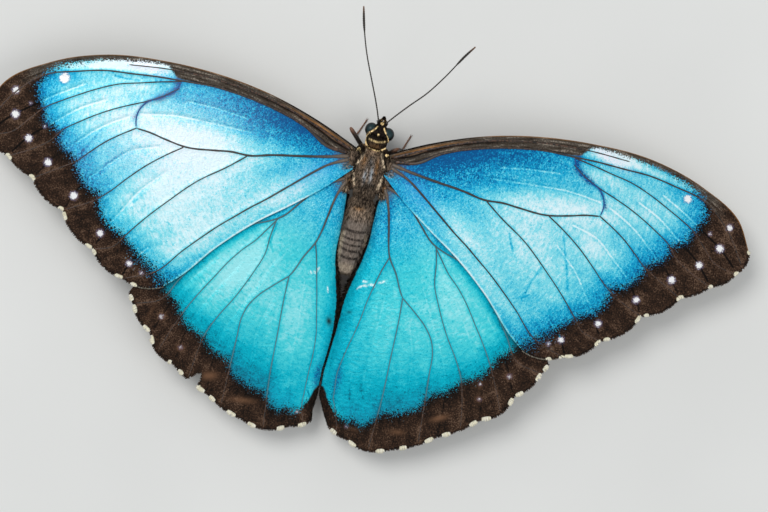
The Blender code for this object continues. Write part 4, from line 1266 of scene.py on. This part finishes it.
def base_hair(name, kind, side, material, count):
    """Soft brown hair over a wing's base."""
    rng = np.random.default_rng(len(name) + 40)
    if kind == "fore":
        x = 2.7 + 1.9 * rng.random(count) ** 1.4
        across = rng.random(count)
        y = -0.5 + (across * 4.4 - 3.2) * (0.75 + 0.1 * (x - 2.7))
        lie = np.column_stack([np.ones(count), 0.5 * (across - 0.7), np.full(count, 0.08)])
        length = 0.5 + 0.6 * rng.random(count)
    else:
        x = 2.7 + 1.5 * rng.random(count) ** 1.3
        y = -3.9 - 3.2 * rng.random(count)
        lie = np.tile((0.35, -1.0, 0.05), (count, 1))
        length = 0.5 + 0.7 * rng.random(count)
    root = on_wing(kind, side, x, y, 0.06)
    lie = lie * (SIGN[side], 1.0, 1.0) + rng.normal(0.0, 0.16, (count, 3)) * (1, 1, 0.5)
    marks = coat_marks(*root.T)
    marks["shade"] = rng.random(count)
    marks["pale"] = 0.7 * (rng.random(count) < 0.35)
    marks["dark"] = 0.9 * (rng.random(count) < 0.35)
    layout = np.column_stack(
        [0.05 + 0.4 * np.clip((x - 2.0) / 4.0, 0, 1), 0.55 + 0.4 * np.clip((y + 8) / 10.0, 0, 1)])
    blades(name, root, lie, UPWARD, length, 0.055, -0.05, layout, marks, material, f"{kind}wing_scales")


def inner_hair(name, side, material, count):
    """Dark hair down the inner edge of a hindwing, which lines the channel for the abdomen."""
    rng = np.random.default_rng(len(name) + 77)
    inner_edge = wing_plan("hind", "right")[:, -1]        # alike on both sides
    share = rng.random(count) * 0.93 + 0.02
    x, y = (np.interp(share * (len(inner_edge) - 1), np.arange(len(inner_edge)), inner_edge[:, k])
            for k in (0, 1))
    into = 0.02 + 0.28 * rng.random(count)
    root = on_wing(
        "hind", side, x + into, y, -inner_drop("hind", into) - 0.05 - 0.6 * rng.random(count))
    lie = (-SIGN[side], -0.75, -0.12) + rng.normal(0.0, 0.28, (count, 3)) * (1, 1, 0.8)
    size = np.interp(-y, *np.transpose(INNER_HAIR_LENGTH))
    marks = {"dark": 0.9 + 0.1 * rng.random(count), "shade": rng.random(count)}
    layout = np.column_stack([0.05 + 0.2 * rng.random(count), 0.05 + 0.9 * share])
    blades(name, root, lie, UPWARD, size * (0.7 + 0.5 * rng.random(count)), 0.12, -0.08, layout,
           marks, material, "hindwing_scales")


# ---------------- materials
RGBA = {"out": 2, "data_type": "RGBA"}            # a Mix node that mixes colours
EASED = {"interpolation_type": "SMOOTHSTEP"}      # a Map Range node with soft ends


def hex_colour(code):
    """An sRGB hex colour as linear red, green, blue and alpha."""
    channels = [int(code[i:i + 2], 16) / 255 for i in (1, 3, 5)]
    linear = [c / 12.92 if c <= 0.04045 else ((c + 0.055) / 1.055) ** 2.4 for c in channels]
    return (*linear, 1.0)


def as_value(value):
    """What a socket takes: hex codes become colours, the rest stays as it is."""
    return hex_colour(value) if isinstance(value, str) else value


def add_node(tree, kind, inputs=(), out=0, stops=(), **settings):
    """Add a shader node with its settings, links and colour stops; returns one of its outputs.

    inputs are a row from the first socket on, or sockets by their number or name.  A Map Range
    node's row is the value, the range that it comes from and the range that it goes to.
    """
    made = tree.nodes.new("ShaderNode" + kind)
    for key, value in settings.items():
        setattr(made, key, value)
    if stops:
        elements = made.color_ramp.elements
        elements.remove(elements[1])
        elements[0].position, elements[0].color = stops[0][0], as_value(stops[0][1])
        for position, colour in stops[1:]:
            elements.new(position).color = as_value(colour)
    for key, value in inputs.items() if isinstance(inputs, dict) else enumerate(inputs):
        if isinstance(value, bpy.types.NodeSocket):
            tree.links.new(value, made.inputs[key])
        else:
            made.inputs[key].default_value = as_value(value)
    return made.outputs[out]


def new_material(name, roughness, measures="", **constants):
    """A material, what adds nodes to it, places in mm and the measures that it reads.

    constants are set on the Principled shader's own sockets.
    """
    material = bpy.data.materials.new(name)
    material.use_nodes = True
    shader = material.node_tree.nodes["Principled BSDF"]
    for key, value in {"Roughness": roughness, **constants}.items():
        shader.inputs[key.replace("_", " ")].default_value = value
    add = functools.partial(add_node, material.node_tree)
    mm = add("VectorMath", {0: add("TexCoord", out="Object"), "Scale": 1 / MM}, operation="SCALE")
    return material, add, mm, {key: add("Attribute", out="Fac", attribute_name=key)
                               for key in measures.split()}


def surfaced(material, **sockets):
    """Link outputs to sockets of a material's Principled shader; returns the material."""
    tree = material.node_tree
    for key, output in sockets.items():
        tree.links.new(output, tree.nodes["Principled BSDF"].inputs[key.replace("_", " ")])
    return material


def wing_scales(name, settings, spotted, crease_highlight_and_shade):
    """Rows of ridged structural-blue scales between dark veins, with painted sheen: paler where they
    face up.

    The last two arguments say how strong the white spots are, and how strong the painted highlight and
    painted shade of the creases are.
    """
    material, add, mm, measure = new_material(
        name, 0.5, "blue vein fold spot cream light reach turn costal copper front crack fray "
        "smear violet dusk margin gutter rim scratch scuff smudge dust green bloom",
        Specular_IOR_Level=0.07)
    # A scale is 0.1 mm wide; the grain is drawn at 0.25 mm so that it still shows.
    grain = add("TexNoise", {"Vector": mm, "Scale": 4.2, "Detail": 2, "Roughness": 0.7})
    mottle = add("TexNoise", {"Vector": mm, "Scale": 0.5, "Detail": 4})
    wear_and_glint = add("TexNoise", {"Vector": mm, "Scale": 1.9, "Detail": 2})
    # Fine creases run out from the hinge, about 0.8 mm apart. The membrane ripples across the
    # spaces between the veins, 0.5 mm apart. Scales of the front strip lie in long rows.
    drawn_out = []
    for across, per_mm, distortion in (
            ("turn", (0.14, 1.3, 1), 0), ("turn", (2.1, 0.75, 1), 0.4),
            ("front", (0.3, 2.6, 1), 0)):
        pair = add("CombineXYZ", {"X": measure["reach"], "Y": measure[across]})
        pair = add("VectorMath", (pair, per_mm), operation="MULTIPLY")
        drawn_out.append(
            add("TexNoise", {"Vector": pair, "Scale": 1, "Detail": 2, "Distortion": distortion}))
    crease, ripple, rows = drawn_out

    # Each scale is a little lighter or deeper than its neighbours, most where the blue is deep.
    # Scales are 0.1 mm wide; they are drawn at 0.2 mm so that they still show.
    scale = add("TexVoronoi", {"Vector": mm, "Scale": 5}, out="Color")
    light, green = measure["light"], measure["green"]
    apart = add("MapRange", (light, 0.25, 0.75, 0.72, 0.14))
    plain = add("MapRange", (green, 0, 1, 1, 0.3))
    apart = add("Math", (apart, plain), operation="MULTIPLY")
    coarse = add("MapRange", (light, 0.25, 0.85, 1.6, 0.5))
    coarse = add("Math", (green, -0.4, coarse), operation="MULTIPLY_ADD")
    tone = light
    for source, amount in (
            (mottle, 0.36), (crease, 0.1), (grain, coarse), (ripple, 0.46), (scale, apart)):
        centred = add("Math", (source, 0.5), operation="SUBTRACT")
        tone = add("Math", (centred, amount, tone), operation="MULTIPLY_ADD")
    # Deep blue scales speckle the ground, thickly where it is deep and thinly where it is pale.
    room = add("MapRange", (light, 1, 0.45, 0.66, 0.53))
    speckle = add("Math", (grain, room), operation="SUBTRACT")
    speckle = add("MapRange", (speckle, 0, 0.05))
    tone = add("Math", (speckle, -0.36, tone), operation="MULTIPLY_ADD")
    # Deeper beside veins, a painted highlight along the creases with painted shade beside it, and
    # rubbed in places.
    for source, low, high, amount in (
            (measure["vein"], 0.55, 0.12, -0.14), (measure["fold"], 0.7, 0.3, -0.35 * crease_highlight_and_shade),
            (measure["fold"], 0.26, 0.02, 1.5 * crease_highlight_and_shade), (wear_and_glint, 0.63, 0.7, -0.16)):
        near = add("MapRange", (source, low, high), **EASED)
        tone = add("Math", (near, amount, tone), operation="MULTIPLY_ADD")
    rubbed = add("Math", (measure["scratch"], wear_and_glint), operation="MULTIPLY")
    tone = add("Math", (rubbed, -0.6, tone), operation="MULTIPLY_ADD")
    # Forewing blue, and the greener blue that takes over on the hindwing away from its root.
    blue, other = (add("ValToRGB", {"Fac": tone}, stops=[
        (position, getattr(settings, prefix + shade)) for position, shade in (
            (0, "deep"), (0.22, "azure"), (0.46, "sky"), (0.74, "pale"), (1, "glint"))])
        for prefix in ("", "hind_"))
    blue = add("Mix", {0: green, 6: blue, 7: other}, **RGBA)
    # Stains of the blue, the root's dust, pale patches with the left forewing's painted glare, and
    # scuffs.
    for key, other, amount in (("violet", settings.violet, 0.5), ("dusk", settings.dusk, 0.4),
                               ("smear", settings.dusk, 1), ("dust", settings.thorax, 0.6),
                               ("bloom", "#EAEDF6", 0.8), ("scuff", "#DDF3F2", 0.9)):
        uneven = add("MapRange", (grain, 0.36, 0.56, 0, 1.5))
        share = add("Math", (measure[key], uneven), operation="MULTIPLY")
        share = add("Math", (share, amount), operation="MULTIPLY", use_clamp=True)
        blue = add("Mix", {0: share, 6: blue, 7: other}, **RGBA)

    # The border: brown-black scales, darkest beside the blue, with brown veins, and painted shade that
    # turns the creases black.
    brown = add("Math", (grain, 1.3, -0.5), operation="MULTIPLY_ADD")
    for source, amount in ((mottle, 0.5), (crease, 0.35)):
        brown = add("Math", (source, amount, brown), operation="MULTIPLY_ADD")
    for key, low, high, amount in (
            ("vein", 0.9, 0.15, 0.14), ("blue", -0.4, -3.2, 0.16), ("spot", 1.6, 0.2, 0.12),
            ("fold", 0.2, 0.08, -3.5 * crease_highlight_and_shade), ("margin", 0.4, 0.1, -0.18)):
        near = add("MapRange", (measure[key], low, high, 0, amount))
        brown = add("Math", (brown, near), operation="ADD")
    brown = add("ValToRGB", {"Fac": brown}, stops=[
        (0.34, "#0E0A08"), (0.55, settings.border_dark), (0.84, settings.border_light),
        (1.08, "#665040")])
    # The grey strip along the front edge, and its coppery scales near the root.
    strip = add("Math", (grain, 0.55), operation="MULTIPLY")
    strip = add("Math", (rows, 0.75, strip), operation="MULTIPLY_ADD")
    strip = add("ValToRGB", {"Fac": strip}, stops=[
        (0.42, "#17110D"), (0.58, "#40372E"), (0.72, "#524B43"), (0.84, "#958A7C")])
    copper = add("Math", (measure["copper"], rows), operation="MULTIPLY")
    copper = add("Math", (copper, 1.7), operation="MULTIPLY", use_clamp=True)
    for share, other in ((measure["smudge"], "#70503A"), (measure["costal"], strip),
                         (copper, "#A8743C"), (measure["crack"], "#0E0908")):
        brown = add("Mix", {0: share, 6: brown, 7: other}, **RGBA)

    # Blue scales thin out into the border over about a millimetre.
    centred = add("Math", (grain, 0.5), operation="SUBTRACT")
    frayed = add("Math", (centred, measure["fray"]), operation="MULTIPLY")
    frayed = add("Math", (frayed, 7, measure["blue"]), operation="MULTIPLY_ADD")
    field = add("MapRange", (frayed, -0.2, 0.2), **EASED)
    # White spots with a thin lilac halo, and cream marks along the margin.
    speck = add("Math", (centred, 1.3, measure["spot"]), operation="MULTIPLY_ADD")
    halo = add("MapRange", (speck, 0.42, 0.05, 0, 0.4 * spotted), **EASED)
    white = add("MapRange", (speck, 0.14, -0.12, 0, spotted), **EASED)
    along = add("MapRange", (measure["cream"], 0, -0.16))
    at_edge = add("MapRange", (measure["margin"], 0.46, 0.3))
    pale = add("Math", (along, at_edge), operation="MULTIPLY")
    colour = brown
    # Painted shade by the hindwings' inner edges and beside the forewing's edge turns the blue to the
    # border's darkest brown.
    for share, other in (
            (field, blue), (measure["gutter"], settings.border_dark), (halo, "#8E83A8"),
            (white, settings.spot), (pale, settings.cream), (measure["rim"], "#120D0B")):
        colour = add("Mix", {0: share, 6: colour, 7: other}, **RGBA)

    metal = add("Math", (field, settings.iridescence), operation="MULTIPLY")
    rough = add("MapRange", (field, 0, 1, 0.66, 0.4))
    rough = add("Math", (grain, 0.12, rough), operation="MULTIPLY_ADD")
    height = add("Math", (ripple, 1.8, grain), operation="MULTIPLY_ADD")
    bump = add("Bump", {"Strength": 0.8, "Distance": 0.06 * MM, "Height": height})
    return surfaced(material, Base_Color=colour, Metallic=metal, Roughness=rough, Normal=bump)


def under_scales(name, settings):
    """Brown scales of the underside: marbled, with ringed eyespots and pale lines."""
    material, add, mm, measure = new_material(
        name, 0.7, "ocellus vein margin reach", Sheen_Weight=0.05, Specular_IOR_Level=0.2)
    grain = add("TexNoise", {"Vector": mm, "Scale": 4.6, "Detail": 2})
    marble = add("TexNoise", {"Vector": mm, "Scale": 0.16, "Detail": 3, "Distortion": 1.2})
    # Bands of marbling run about 9 mm apart across the wing.
    bands = add("Math", (measure["reach"], 0.7), operation="MULTIPLY")
    bands = add("Math", (marble, 7, bands), operation="MULTIPLY_ADD")
    bands = add("Math", (bands,), operation="SINE")
    bands = add("Math", (grain, 1.2, bands), operation="MULTIPLY_ADD")
    base = add("ValToRGB", {"Fac": bands}, stops=[
        (0, "#3B2A20"), (0.45, "#55402F"), (0.8, "#6E5640"), (1, "#A08A6C")])
    lit = add("MapRange", (measure["vein"], 0.3, 0.12, 0, 0.6))
    # Eyespots: white pupil, black disc, yellow ring, dark rim.
    shaky = add("Math", (grain, 0.5), operation="SUBTRACT")
    shaky = add("Math", (shaky, 0.12, measure["ocellus"]), operation="MULTIPLY_ADD")
    rings = add("ValToRGB", {"Fac": shaky}, stops=[
        (0, "#F2EEE6"), (0.12, "#E4DED2"), (0.17, "#191210"), (0.42, "#1C1412"),
        (0.5, "#5A2A1C"), (0.6, "#C99A3E"), (0.78, "#D7B257"), (0.86, "#241913")])
    disc = add("MapRange", (shaky, 1, 0.94))
    line = add("Math", (measure["margin"], 1.5, 0.22), operation="COMPARE")
    colour = base
    for share, other in ((lit, "#8C7458"), (disc, rings), (line, "#B79C72")):
        colour = add("Mix", {0: share, 6: colour, 7: other}, **RGBA)
    bump = add("Bump", {"Strength": 0.5, "Distance": 0.04 * MM, "Height": grain})
    return surfaced(material, Base_Color=colour, Normal=bump)


def vein_cuticle(name, settings, far):
    """Hard vein cuticle dusted with scales: glossier than the wing, pale brown at the root.

    far names the setting with the colour away from the root.
    """
    material, add, mm, measure = new_material(name, 0.42, "blue reach cross")
    dust = add("TexNoise", {"Vector": mm, "Scale": 2.6, "Detail": 3})
    out = add("Math", (dust, 8, measure["reach"]), operation="MULTIPLY_ADD")
    out = add("MapRange", (out, 0, 30))
    colour = add("ValToRGB", {"Fac": out}, stops=[
        (0.12, "#6A5C4E"), (0.36, settings.vein), (0.8, getattr(settings, far))])
    border = add("MapRange", (measure["blue"], 0.25, -0.25))
    brown = add("ValToRGB", {"Fac": dust}, stops=[(0.42, settings.border_dark), (0.62, "#5C4131")])
    for share, other in ((measure["cross"], settings.dusk), (border, brown)):
        colour = add("Mix", {0: share, 6: colour, 7: other}, **RGBA)
    bump = add("Bump", {"Strength": 0.5, "Distance": 0.04 * MM, "Height": dust})
    return surfaced(material, Base_Color=colour, Normal=bump)


def coat(name, settings):
    """Hair and skin of the body alike: one set of markings, each hair a little lighter or darker."""
    material, add, mm, measure = new_material(
        name, 0.62, "cream dark sheen warm ring grey below shade pale", Specular_IOR_Level=0.06)
    # Lying hair makes strands of light and dark along the body, about 0.25 mm wide.
    strand = add("VectorMath", (mm, (2.2, 0.9, 1.5)), operation="MULTIPLY")
    patch = add("TexNoise", {"Vector": strand, "Scale": 1.7, "Detail": 4, "Roughness": 0.65})
    colour = add("Mix", {0: measure["grey"], 6: settings.thorax, 7: settings.abdomen}, **RGBA)
    for key, other, amount in (
            ("sheen", "#87939B", 0.8), ("warm", "#8A6238", 0.8), ("pale", "#C9B497", 0.95),
            ("below", "#6A5848", 0.6), ("ring", "#221C1A", 0.9), ("dark", "#0A0604", 0.96),
            ("cream", "#E8C98F", 0.95)):
        share = add("Math", (measure[key], amount), operation="MULTIPLY", use_clamp=True)
        colour = add("Mix", {0: share, 6: colour, 7: other}, **RGBA)
    varied = 1.12
    for source, on_thorax, on_abdomen in ((measure["shade"], 2, 0.9), (patch, 9, 3.6)):
        centred = add("Math", (source, 0.5), operation="SUBTRACT")
        amount = add("MapRange", (measure["grey"], 0, 1, on_thorax, on_abdomen))
        varied = add("Math", (centred, amount, varied), operation="MULTIPLY_ADD")
    varied = add("Math", (varied, 0.22), operation="MAXIMUM")
    colour = add("VectorMath", {0: colour, "Scale": varied}, operation="SCALE")
    bump = add("Bump", {"Strength": 0.4, "Distance": 0.05 * MM, "Height": patch})
    return surfaced(material, Base_Color=colour, Normal=bump)


def fringe_scales(name, settings):
    """Long narrow scales of the wing fringe: brown, cream at the marks."""
    material, add, _, measure = new_material(name, 0.7, "cream shade", Specular_IOR_Level=0.2)
    brown, pale = (add("ValToRGB", {"Fac": measure["shade"]}, stops=[(0, deep), (1, light)])
                   for deep, light in ((settings.border_dark, "#5E4738"),
                                       (settings.cream, "#F6F0DE")))
    colour = add("Mix", {0: measure["cream"], 6: brown, 7: pale}, **RGBA)
    return surfaced(material, Base_Color=colour)


def eye_lens(name, settings):
    """Compound eye: a glossy dome of tiny lenses over dark pigment, with painted light: green-grey on
    top, near black lower down.
    """
    material, add, mm, measure = new_material(
        name, 0.34, "dome", Coat_Weight=0.08, Coat_Roughness=0.2, Specular_IOR_Level=0.2)
    cloud = add("TexNoise", {"Vector": mm, "Scale": 1.6, "Detail": 3})
    top = add("Math", (cloud, 0.5, measure["dome"]), operation="MULTIPLY_ADD")
    # Painted light: near black low on the eye, the pigment's colour higher up and green-grey at the
    # top.
    colour = add("ValToRGB", {"Fac": top}, stops=[
        (0.8, "#030304"), (1.06, settings.eye), (1.25, "#1B3032")])
    # Real lenses are 0.025 mm across; they are drawn at 0.09 mm so that they show.
    lens = add("TexVoronoi", {"Vector": mm, "Scale": 11, "Randomness": 0.35})
    height = add("Math", (1, lens), operation="SUBTRACT")
    bump = add("Bump", {"Strength": 0.35, "Distance": 0.02 * MM, "Height": height})
    return surfaced(material, Base_Color=colour, Normal=bump)


def horn(name, settings, dark, light, tip, roughness):
    """Hard brown cuticle: ringed, a little glossy, paler where scales are left.

    Without a light colour, the legs' setting is used.
    """
    material, add, mm, measure = new_material(name, roughness, "ring share foot")
    dust = add("TexNoise", {"Vector": mm, "Scale": 3.2, "Detail": 3})
    colour = add("ValToRGB", {"Fac": dust}, stops=[(0.35, dark), (0.72, light or settings.leg)])
    band = add("MapRange", (measure["ring"], 0.98, 0.89, 0, 0.22))
    ringed = add("Math", (measure["ring"], 0.5), operation="GREATER_THAN")
    band = add("Math", (band, ringed), operation="MULTIPLY")
    end = add("MapRange", (measure["share"], 0.93, 1, 0, 0.8))
    end = add("Math", (end, measure["foot"]), operation="MAXIMUM")
    for share, other in ((band, "#A08F78"), (end, tip)):
        colour = add("Mix", {0: share, 6: colour, 7: other}, **RGBA)
    bump = add("Bump", {"Strength": 0.4, "Distance": 0.03 * MM, "Height": dust})
    return surfaced(material, Base_Color=colour, Normal=bump)


def paper(name, settings):
    """Matt studio card."""
    material, add, mm, _ = new_material(name, 0.9)
    # Faint unevenness about 50 mm across.
    haze = add("TexNoise", {"Vector": mm, "Scale": 0.02, "Detail": 2})
    colour = add("Mix", {0: haze, 6: settings.floor, 7: "#D9D8D4"}, **RGBA)
    return surfaced(material, Base_Color=colour)


# Each material's maker, and what it is told beside the settings.
MATERIALS = {
    "Forewing Upper Scales": (wing_scales, 0.95, 0.2),
    "Hindwing Upper Scales": (wing_scales, 0.55, 0.06),
    "Wing Under Scales": (under_scales,),
    "Forewing Vein Cuticle": (vein_cuticle, "vein"),
    "Hindwing Vein Cuticle": (vein_cuticle, "hind_vein"),
    "Body Coat": (coat,),
    "Fringe Scales": (fringe_scales,),
    "Eye Cornea": (eye_lens,),
    "Antenna Cuticle": (horn, "#15100E", "#2C231D", "#7A4E2C", 0.42),
    "Proboscis Cuticle": (horn, "#2A1710", "#6B3F24", "#3A2015", 0.3),
    "Leg Cuticle": (horn, "#0F0B09", None, "#7C543C", 0.48),
    "Studio Card": (paper,),
}


# ---------------- the add-on
def tint(name, description, code):
    """A colour setting."""
    return bpy.props.FloatVectorProperty(name=name, description=description, subtype="COLOR",
                                         size=4, min=0.0, max=1.0, default=hex_colour(code))


class MorphoSettings(bpy.types.PropertyGroup):
    """Sizes and colours of the butterfly and its stage."""
    deep: tint("Deep Blue", "Forewing blue in its darkest folds", "#0A5588")
    azure: tint("Azure", "Forewing blue near the veins", "#0A88BE")
    sky: tint("Sky Blue", "Middle blue of the forewing", "#20B4D6")
    pale: tint("Pale Blue", "Forewing blue where it faces the light", "#80DAE6")
    glint: tint("Glint", "Brightest blue of the forewing", "#DEF2F6")
    hind_deep: tint("Hindwing Deep", "Hindwing blue in its folds", "#046A7C")
    hind_azure: tint("Hindwing Azure", "Hindwing blue at the root", "#009EB6")
    hind_sky: tint("Hindwing Sky", "Middle blue of the hindwing", "#06B6CA")
    hind_pale: tint("Hindwing Pale", "Lighter hindwing blue", "#4CD2DA")
    hind_glint: tint("Hindwing Glint", "Brightest hindwing blue", "#9CE8EC")
    violet: tint("Violet", "Violet-blue scales behind the wing base", "#4A86D8")
    dusk: tint("Dusk", "Dark blue scales over the cross vein", "#0E4A8C")
    border_dark: tint("Border Dark", "Darkest brown of the border", "#17110D")
    border_light: tint("Border Light", "Lightest brown of the border", "#3A281D")
    spot: tint("Spots", "White spots in the border", "#F4F3F1")
    cream: tint("Cream", "Pale marks of the fringe", "#E6DEC0")
    vein: tint("Vein", "Forewing veins", "#38312C")
    hind_vein: tint("Hindwing Vein", "Hindwing veins", "#457780")
    thorax: tint("Thorax", "Hair of the thorax", "#6B5B4C")
    abdomen: tint("Abdomen", "Scales of the abdomen", "#6A5F56")
    eye: tint("Eye", "Pigment of the eyes", "#13282A")
    leg: tint("Leg", "Cuticle of the legs", "#33251C")
    floor: tint("Floor", "Studio floor", "#E6E5E1")
    iridescence: bpy.props.FloatProperty(
        name="Iridescence", description="How metallic the blue scales are", default=0.35,
        min=0.0, max=1.0, subtype="FACTOR")
    fringe_per_mm: bpy.props.IntProperty(
        name="Fringe Scales per mm", description="Scales along each millimetre of fringe",
        default=16, min=4, max=40)
    thorax_hairs: bpy.props.IntProperty(
        name="Thorax Hairs", description="Number of hairs on the thorax", default=9000,
        min=100, max=12000)
    abdomen_hairs: bpy.props.IntProperty(
        name="Abdomen Hairs", description="Number of hairs on the abdomen", default=9000,
        min=100, max=12000)
    head_hairs: bpy.props.IntProperty(
        name="Head Hairs", description="Number of hairs on head and collar", default=8000,
        min=100, max=12000)
    base_hairs: bpy.props.IntProperty(
        name="Base Hairs", description="Number of hairs over each wing's base", default=700,
        min=10, max=5000)
    inner_hairs: bpy.props.IntProperty(
        name="Inner Hairs", description="Number of hairs down each hindwing's inner edge",
        default=4200, min=10, max=9000)
    camera_height: bpy.props.FloatProperty(
        name="Camera Height", description="Height of the camera over the floor",
        default=0.3925, min=0.2, max=2.0, unit="LENGTH")
    key_power: bpy.props.FloatProperty(
        name="Key Light", description="Power of the large soft light", default=3.5, min=0.0,
        max=50.0, unit="POWER")


def shared(name, settings):
    """The one material of a name, made when it is first asked for."""
    make, *details = MATERIALS[name]
    return bpy.data.materials.get(name) or make(name, settings, *details)


class MorphoWings(bpy.types.Operator):
    """Build the four wings with their scales and veins"""
    bl_idname = "morpho.wings"
    bl_label = "Wings"

    def execute(self, context):
        settings = context.scene.morpho
        under = shared("Wing Under Scales", settings)
        for kind, wing in (("fore", "Forewing"), ("hind", "Hindwing")):
            for side in SIGN:
                make_wing(kind, side, shared(f"{wing} Upper Scales", settings), under)
                make_veins(kind, side, shared(f"{wing} Vein Cuticle", settings))
        return {"FINISHED"}


class MorphoFringe(bpy.types.Operator):
    """Build the fringe of the wings and the long hair at their bases"""
    bl_idname = "morpho.fringe"
    bl_label = "Fringe and Base Hair"

    def execute(self, context):
        settings = context.scene.morpho
        scales, hair = (shared(name, settings) for name in ("Fringe Scales", "Body Coat"))
        for side in SIGN:
            for kind in ("fore", "hind"):
                edge_blades(f"{kind}wing_{side}_fringe", kind, side, scales, settings)
                base_hair(f"{kind}wing_{side}_base_hair", kind, side, hair, settings.base_hairs)
            inner_hair(f"hindwing_{side}_inner_hair", side, hair, settings.inner_hairs)
        return {"FINISHED"}


class MorphoBody(bpy.types.Operator):
    """Build the skin of the body and its coat of hair"""
    bl_idname = "morpho.body"
    bl_label = "Body"

    def execute(self, context):
        settings = context.scene.morpho
        material = shared("Body Coat", settings)
        make_body_coat(*make_skin(material), material, settings)
        return {"FINISHED"}


class MorphoHead(bpy.types.Operator):
    """Build the eyes, feelers, palps and tongue"""
    bl_idname = "morpho.head"
    bl_label = "Eyes, Feelers and Mouth"

    def execute(self, context):
        settings = context.scene.morpho
        for side in SIGN:
            make_eye(side, shared("Eye Cornea", settings))
            make_antenna(side, shared("Antenna Cuticle", settings))
            make_palp(side, shared("Body Coat", settings))
        make_proboscis(shared("Proboscis Cuticle", settings))
        return {"FINISHED"}


class MorphoLegs(bpy.types.Operator):
    """Build the six legs"""
    bl_idname = "morpho.legs"
    bl_label = "Legs"

    def execute(self, context):
        settings = context.scene.morpho
        for name, path in LEG_PATHS.items():
            make_leg(name, path, shared("Leg Cuticle", settings))
        return {"FINISHED"}


class MorphoStage(bpy.types.Operator):
    """Set up the floor, lights and camera"""
    bl_idname = "morpho.stage"
    bl_label = "Stage"

    def execute(self, context):
        scene, settings = context.scene, context.scene.morpho
        bm = bmesh.new()
        bmesh.ops.create_grid(bm, x_segments=1, y_segments=1, size=FLOOR_SIZE / 2)
        mesh = to_mesh(bm, "floor")
        floor = bpy.data.objects.new("floor", mesh)
        mesh.materials.append(shared("Studio Card", settings))
        scene.collection.objects.link(floor)
        for name, spot, size, share in LIGHTS:
            lamp = bpy.data.lights.new(name, "AREA")
            lamp.shape = "DISK"
            lamp.size = size
            lamp.energy = settings.key_power * share
            light = bpy.data.objects.new(name, lamp)
            light.location = spot
            light.rotation_euler = (-Vector(spot)).to_track_quat("-Z", "Y").to_euler()
            scene.collection.objects.link(light)
        world = bpy.data.worlds.new("studio")
        world.use_nodes = True
        world.node_tree.nodes["Background"].inputs["Color"].default_value = WORLD_COLOUR
        world.node_tree.nodes["Background"].inputs["Strength"].default_value = WORLD_LIGHT
        scene.world = world
        camera = bpy.data.objects.new("camera", bpy.data.cameras.new("camera"))
        camera.data.lens = 100.0
        camera.data.sensor_width = 36.0
        camera.data.dof.use_dof = False
        camera.location = (*((WING_ORIGIN[:2] + VIEW_CENTRE) * MM), settings.camera_height)
        camera.rotation_euler = (0.0, 0.0, math.radians(VIEW_TURN))
        scene.collection.objects.link(camera)
        scene.camera = camera
        scene.view_settings.view_transform = "Standard"
        return {"FINISHED"}


class MorphoPanel(bpy.types.Panel):
    """Lists the butterfly's operators and settings"""
    bl_idname = "VIEW3D_PT_morpho"
    bl_label = "Blue Morpho"
    bl_space_type = "VIEW_3D"
    bl_region_type = "UI"
    bl_category = "Morpho"

    def draw(self, context):
        for operator in OPERATORS:
            self.layout.operator(operator.bl_idname)
        for name in MorphoSettings.__annotations__:
            self.layout.prop(context.scene.morpho, name)


OPERATORS = (MorphoWings, MorphoFringe, MorphoBody, MorphoHead, MorphoLegs, MorphoStage)
CLASSES = (MorphoSettings, *OPERATORS, MorphoPanel)


def register():
    """Register the add-on's classes and its settings."""
    for cls in CLASSES:
        bpy.utils.register_class(cls)
    bpy.types.Scene.morpho = bpy.props.PointerProperty(type=MorphoSettings)


def unregister():
    """Remove what register() added."""
    del bpy.types.Scene.morpho
    for cls in reversed(CLASSES):
        bpy.utils.unregister_class(cls)


def main():
    """Build the model and its stage."""
    register()
    for operator in OPERATORS:
        group, name = operator.bl_idname.split(".")
        getattr(getattr(bpy.ops, group), name)()


if __name__ == "__main__":
    main()
